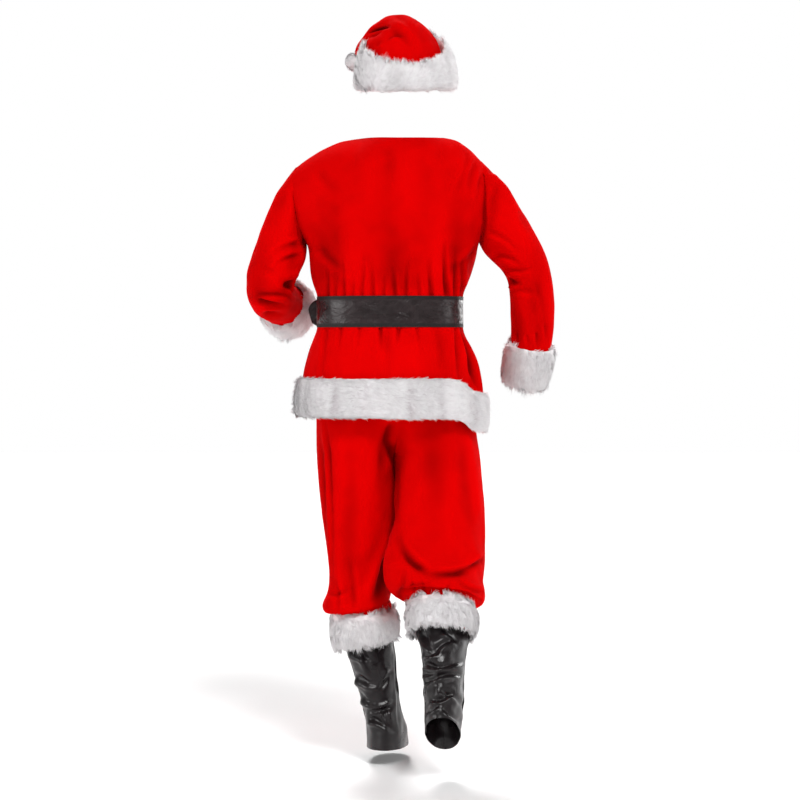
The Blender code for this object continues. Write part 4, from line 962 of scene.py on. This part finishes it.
TROUSERS_FRONT = table(
    (330, 440, 338, 560, -2, 4.0, -2.0, 1.4), (356, 450, 360, 560, 2, 6.0, -1.8, 1.2),
    (380, 440, 372, 560, -3, 4.5, -2.0, 1.4), (330, 572, 358, 590, 4, 2.6, -3.0, 1.8),
    (366, 590, 392, 580, -3, 2.6, -2.8, 1.8), (346, 560, 350, 604, 2, 3.0, -2.2, 1.6),
    (410, 440, 418, 560, 3, 4.5, -2.0, 1.4), (440, 450, 440, 570, 2, 6.0, -1.8, 1.2),
    (470, 440, 462, 560, -3, 4.0, -2.0, 1.4), (412, 576, 440, 594, 4, 2.6, -3.0, 1.8),
    (450, 594, 474, 582, -3, 2.6, -2.8, 1.8),
)
BOOT_LEFT = table(
    (350, 648, 378, 660, 3, 3.0, -4.6, 4.0), (364, 646, 374, 676, 3, 2.8, -3.6, 3.4),
    (352, 672, 386, 684, 5, 3.0, -5.0, 4.2), (392, 668, 374, 694, -3, 2.8, -4.2, 3.6),
    (396, 704, 360, 708, -5, 3.0, -5.4, 4.4), (356, 690, 380, 706, 3, 2.6, -4.0, 3.4),
    (366, 718, 392, 734, -4, 2.8, -4.8, 4.0), (384, 706, 396, 734, 3, 2.8, -3.6, 3.0),
    (396, 640, 400, 740, 1, 1.4, -2.0, 1.4),
)
BOOT_RIGHT = table(
    (424, 630, 440, 656, 4, 3.0, -5.0, 4.6), (442, 628, 460, 650, -3, 3.0, -4.6, 4.0),
    (422, 656, 442, 646, 3, 2.6, -4.0, 3.4), (420, 662, 466, 658, 6, 3.0, -6.6, 5.2),
    (434, 652, 460, 640, -4, 2.8, -4.4, 3.8), (424, 684, 466, 676, -6, 2.8, -6.2, 4.8),
    (422, 674, 440, 668, 2, 2.4, -3.8, 3.2), (428, 700, 456, 688, 4, 2.8, -5.4, 4.4),
    (438, 690, 464, 708, -4, 2.8, -4.4, 3.6), (424, 716, 448, 702, -3, 2.6, -4.4, 3.6),
    (444, 706, 464, 722, 3, 2.6, -3.8, 3.2),
)
BOOT_FRONT = table(
    (352, 654, 394, 662, 4, 2.2, -4.4, 3.4), (356, 680, 396, 674, -4, 2.2, -4.0, 3.2),
    (362, 700, 398, 708, 4, 2.0, -4.0, 3.0), (376, 642, 384, 672, 3, 2.2, -3.0, 2.4),
    (422, 650, 466, 658, 4, 2.2, -4.4, 3.4), (424, 676, 464, 668, -4, 2.2, -4.0, 3.2),
    (426, 696, 462, 704, 4, 2.0, -4.0, 3.0), (440, 640, 448, 668, 3, 2.2, -3.0, 2.4),
)
# painted shade and painted light in soft vertical bands on the hem's fur; the fur itself is not moved
HEM_SHADING = table(
    (331, 424, 333, 366, 0, 4.2, -2.6, 0.0), (325, 424, 327, 366, 0, 3.6, 1.6, 0.0),
    (408, 426, 405, 366, 1, 4.2, -3.0, 0.0), (402, 426, 399, 366, 1, 3.6, 1.6, 0.0),
    (362, 424, 364, 366, 0, 6.0, -1.2, 0.0), (440, 426, 438, 370, 0, 5.0, -1.6, 0.0),
    (472, 430, 464, 374, 3, 5.0, -2.0, 0.0),
)
HAT = table(
    (366, 33.5, 392, 26, -1, 1.9, -8.5, 3.6), (372, 32, 390, 27, -1, 1.5, -4.0, 0.0),
    (386, 41, 408, 36, -4, 2.4, -2.6, 2.0),
    (390, 20, 422, 46, -3, 3.0, 3.4, 0.0), (388, 28, 414, 52, -3, 3.4, -3.0, 0.0),
    (416, 20, 424, 30, -3, 2.6, -2.2, 1.6), (376, 48, 386, 42, -3, 2.6, -2.0, 1.4),
    (372, 58, 380, 48, 3, 3.0, -1.6, 1.0), (428, 36, 436, 52, -3, 3.4, -1.8, 1.4),
    (406, 62, 408, 52, 0, 2.6, -1.2, 0.8), (420, 62, 424, 50, 0, 2.6, -1.2, 0.8),
)

# ---- the suit

def round_body(places):
    """Sideways round the suit and a little down, in slow waves."""
    turn = np.arctan2(places[:, 1], places[:, 0])
    drop = 0.22 + 0.45 * np.sin(turn * 5 + places[:, 2] * 40) ** 3
    return np.stack([-np.sin(turn), np.cos(turn), -drop], axis=1)


def round_head(places):
    """Sideways round the hat, and upwards at the wearer's left, where the tail comes over the band."""
    turn = np.arctan2(places[:, 1], places[:, 0])
    rise = 0.10 + 0.55 * np.sin(turn * 3 - 0.6 + places[:, 2] * 25)
    rise += 4 * np.clip((places[:, 0] - 0.062) / 0.02, 0, 1)
    return np.stack([-np.sin(turn), np.cos(turn), rise], axis=1)


def dress_cloth():
    """Every cloth piece, each on the solid of its own."""
    cover = {"slot": "vinyl", "levels": 3, "uneven": 0.0014, "size": 0.055, "thickness": VINYL}
    dress("back_panel", "jacket_back", back=JACKET_BACK, tuck=DOWN)
    for side in ("left", "right"):
        dress(f"{side}_front", f"jacket_front_{side}", back=JACKET_BACK, front=JACKET_FRONT, tuck=DOWN)
    dress("left_sleeve", "sleeve_left", back=SLEEVE_LEFT, tuck=LEFT_WRIST, reach=SLEEVE_REACH, head=LEFT_HEAD)
    dress("right_sleeve", "sleeve_right", back=SLEEVE_RIGHT, tuck=RIGHT_WRIST, reach=SLEEVE_REACH,
          head=RIGHT_HEAD)
    left_leg = {"back": TROUSERS_LEFT, "press": True, "tuck": LEFT_ANKLE}
    right_leg = {"back": TROUSERS_RIGHT, "press": True, "tuck": RIGHT_ANKLE}
    dress("left_leg_back", "trouser_back_left", **left_leg)
    dress("right_leg_back", "trouser_back_right", **right_leg)
    dress("left_leg_front", "trouser_front_left", front=TROUSERS_FRONT, **left_leg)
    dress("right_leg_front", "trouser_front_right", front=TROUSERS_FRONT, **right_leg)
    dress("elastic_waist", "waistband", levels=1, thickness=THICK)
    dress("left_cover_back", "boot_back_left", back=BOOT_LEFT, **cover)
    dress("right_cover_back", "boot_back_right", back=BOOT_RIGHT, **cover)
    dress("left_cover_front", "boot_front_left", back=BOOT_LEFT, front=BOOT_FRONT, **cover)
    dress("right_cover_front", "boot_front_right", back=BOOT_RIGHT, front=BOOT_FRONT, **cover)
    for half in ("back", "front"):
        dress(f"crown_{half}", f"hat_{half}", back=HAT, uneven=0.0012, tuck=DOWN)
    dress("strap", "belt_strap", "leather", uneven=0.0004, size=0.04, thickness=THICK)


def add_furs():
    """Every fur piece, each over the cloth that it is sewn to."""
    add_fur("hem_back", "hem_fur_back", ["jacket_back"], round_body, 24000, creases=HEM_SHADING)
    for side in ("left", "right"):
        add_fur(f"hem_{side}", f"hem_fur_front_{side}", [f"jacket_front_{side}"], round_body, 11000)
    add_fur("left_cuff", "sleeve_fur_left", ["sleeve_left"], (0.1, -0.8, -0.9), 13000, down=LEFT_WRIST,
            **SHAGGY_PILE)
    add_fur("right_cuff", "sleeve_fur_right", ["sleeve_right"], (0.1, -0.2, -1), 13000, **SHAGGY_PILE)
    add_fur("left_leg_cuff", "leg_fur_left", ["trouser_back_left", "trouser_front_left"], (-0.15, 0, -1),
            16000, **SHAGGY_PILE)
    add_fur("right_leg_cuff", "leg_fur_right", ["trouser_back_right", "trouser_front_right"], (0, 0.3, -1),
            16000, down=(0, 0.4, -1), **SHAGGY_PILE)
    add_fur("hat_band", "hat_fur_band", ["hat_back", "hat_front"], round_head, 26000, **BAND_PILE)
    add_pompom("pompom_ball", "hat_pompom", (0.3, 0.4, -1), 6000)


make_camera()
make_floor()
make_lights()
looks = {"plush": make_plush(), "fur": make_fur(), "leather": make_leather(), "vinyl": make_vinyl()}
dress_cloth()
add_furs()
nodes["belt_buckle"].data.materials.clear()
nodes["belt_buckle"].data.materials.append(make_brass())

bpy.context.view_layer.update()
